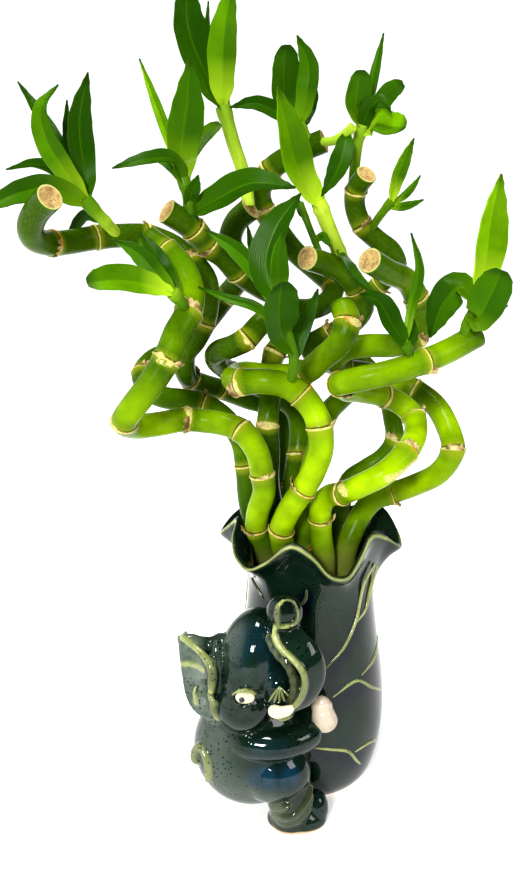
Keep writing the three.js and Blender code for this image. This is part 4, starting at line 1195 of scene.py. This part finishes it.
def make_vase(looks):
    shell = pot_shell()
    rim = [(x, y, z + 1) for x, y, z in rim_points]
    give_each_point(shell, "thin_glaze", nearness(shell, [(rim + rim[:1], 1.3, 0.85)]))
    # Darker bands just below the veins: partly glaze pooling, partly painted shade under the raised veins
    pooling_and_shade_bands = [([(x, y, z - 3.5) for x, y, z in vein_line(path)], 3.8, 1.0) for path in pot_veins]
    give_each_point(shell, "pooling_and_shade", nearness(shell, pooling_and_shade_bands))
    veins = []
    for path in pot_veins:
        vein = tube("vein", vein_line(path), [0.6, 0.9, 1.0, 0.9, 0.6], 12, 40)
        give_all_points(vein, "thin_glaze", 0.6 if len(path) > 3 or path[0][0] > -90 else 0.15)
        veins.append(vein)
    whole = joined("vase_glazed", [shell, *veins])
    finish_glazed(whole, looks["glaze"])
    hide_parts("vase")


def make_elephant(looks):
    creature = joined("elephant_glazed", elephant_parts())
    apply_modifier(creature, "REMESH", mode="VOXEL", voxel_size=glaze_voxel * MM)
    soften(creature)
    for cutter in (cavity(), ball("ground", (0, 0, -200), (400, 400, 200))):
        apply_modifier(creature, "BOOLEAN", operation="DIFFERENCE", object=cutter, solver="EXACT")
        bpy.data.objects.remove(cutter)
    for vertex in creature.data.vertices:
        vertex.co.z = max(0, vertex.co.z)
    for name, lines in (("thin_glaze", thin_lines), ("painted_reflection", painted_reflection_parts), ("blue", painted_blue_reflections)):
        give_each_point(creature, name, nearness(creature, lines))
    folds = []
    for fold in mouth_folds:
        line = tube("mouth_fold", [mouth_corner, fold], [0.25, 0.5, 0.65, 0.45], 10, 16)
        give_all_points(line, "thin_glaze", fold_glaze)
        folds.append(line)
    whole = joined("elephant_glazed", [creature, *folds])
    finish_glazed(whole, looks["glaze"])
    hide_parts("vase")


def paw_block():
    """A blunt paw, narrow at the top, with a shallow crease round it"""
    piece = tube("elephant_paw", paw_line, paw_radii, 28, 60)
    for vertex in piece.data.vertices:
        bottom = paw_bottom * MM + paw_slope * (vertex.co.x - paw_side * MM)
        vertex.co.y += front_flatness * max(0, paw_front * MM - vertex.co.y)
        vertex.co.z += bottom_flatness * max(0, bottom - vertex.co.z)
    soften(piece)
    return piece


def make_face(looks):
    """Eye, pupil, tusk and paw of the elephant"""
    for piece, look in (
            (ball("elephant_eye", (-36.7, -68.6, 83.4), (4.9, 2.4, 3.5)), "cream"),
            (ball("elephant_pupil", (-38.3, -70.8, 83.2), (1.5, 0.7, 1.5)), "black"),
            (tube("elephant_tusk", tusk_line, [3.0, 3.3, 2.7, 1.5], 20, 40), "cream"),
            (paw_block(), "paw")):
        finish_glazed(piece, looks[look])


def make_water(look):
    piece = turned("vase_water", water_profile, 64)
    piece.data.materials.append(look)
    smooth_shaded(piece, 40)
    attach(piece, "root")
    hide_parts("water")


# The studio

# Lamps as (name, place and aim in metres, size in metres, power in watts)
lamps = [
    ("key_front", (-0.35, -1.3, 0.75), (0, 0, 0.22), 0.25, 19),
    ("window_right", (1.0, -0.7, 0.8), (0, 0, 0.2), 0.5, 5),
    ("panel_top", (-0.1, -0.2, 1.5), (0, 0, 0.2), 0.35, 13),
]
# White walls behind the plant and to its left: axis, where they start and end, dim and bright
walls = [("Y", 0.74, 0.91, 0.08, 1.04), ("X", -0.62, -0.84, 0.08, 1.6)]


def make_camera():
    bpy.ops.object.camera_add(
        location=[value * MM for value in camera_place], rotation=(math.radians(camera_tilt), 0, 0))
    camera = bpy.context.object
    camera.data.sensor_fit = "VERTICAL"
    camera.data.sensor_height = sensor_height
    camera.data.lens = camera_lens
    camera.data.clip_start = 0.01
    bpy.context.scene.camera = camera


def make_floor():
    nothing_selected()
    bpy.ops.mesh.primitive_circle_add(vertices=96, radius=4, fill_type="NGON", location=(0, 0, -0.0002))
    ground = bpy.context.object
    ground.name = "white_floor"
    place_in_mesh(ground)
    ground.data.materials.append(floor_look())


def add_lamps():
    for name, place, aim, size, power in lamps:
        bpy.ops.object.light_add(type="AREA", location=place)
        lamp = bpy.context.object
        lamp.name = name
        lamp.data.size = size
        lamp.data.energy = power
        aim_line = Vector(aim) - Vector(place)
        lamp.rotation_euler = aim_line.to_track_quat("-Z", "Y").to_euler()


def light_the_sky():
    """White behind the plant, dim in front of it, as in a studio with white walls"""
    scene = bpy.context.scene
    scene.world = scene.world or bpy.data.worlds.new("studio")
    scene.world.use_nodes = True
    tree = scene.world.node_tree
    direction = add_node(tree, "ShaderNodeTexCoord", output="Generated")
    sides = []
    for axis, start, end, dim, bright in walls:
        part = add_node(tree, "ShaderNodeSeparateXYZ", {0: direction}, axis)
        sides.append(add_node(tree, "ShaderNodeMapRange", {
            "Value": part, "From Min": start, "From Max": end, "To Min": dim, "To Max": bright}))
    background = tree.nodes["Background"]
    background.inputs["Color"].default_value = (1, 1, 1, 1)
    brighter = add_node(tree, "ShaderNodeMath", dict(enumerate(sides)), operation="MAXIMUM")
    tree.links.new(brighter, background.inputs["Strength"])
    scene.view_settings.view_transform = "Standard"
    scene.view_settings.look = "Medium High Contrast"


make_camera()
make_floor()
add_lamps()
light_the_sky()
cane_looks = (stalk_look(), cut_look(), sheath_look())
shoot_looks = (leaf_look(), stem_look())
for cane in stalks:
    make_stalk(cane, cane_looks)
for twig in shoots:
    make_shoot(twig, shoot_looks)
glazes = {"glaze": glaze_look(), "cream": cream_look(), "black": pupil_look(), "paw": paw_look()}
make_vase(glazes)
make_elephant(glazes)
make_face(glazes)
make_water(water_look())

nothing_selected()
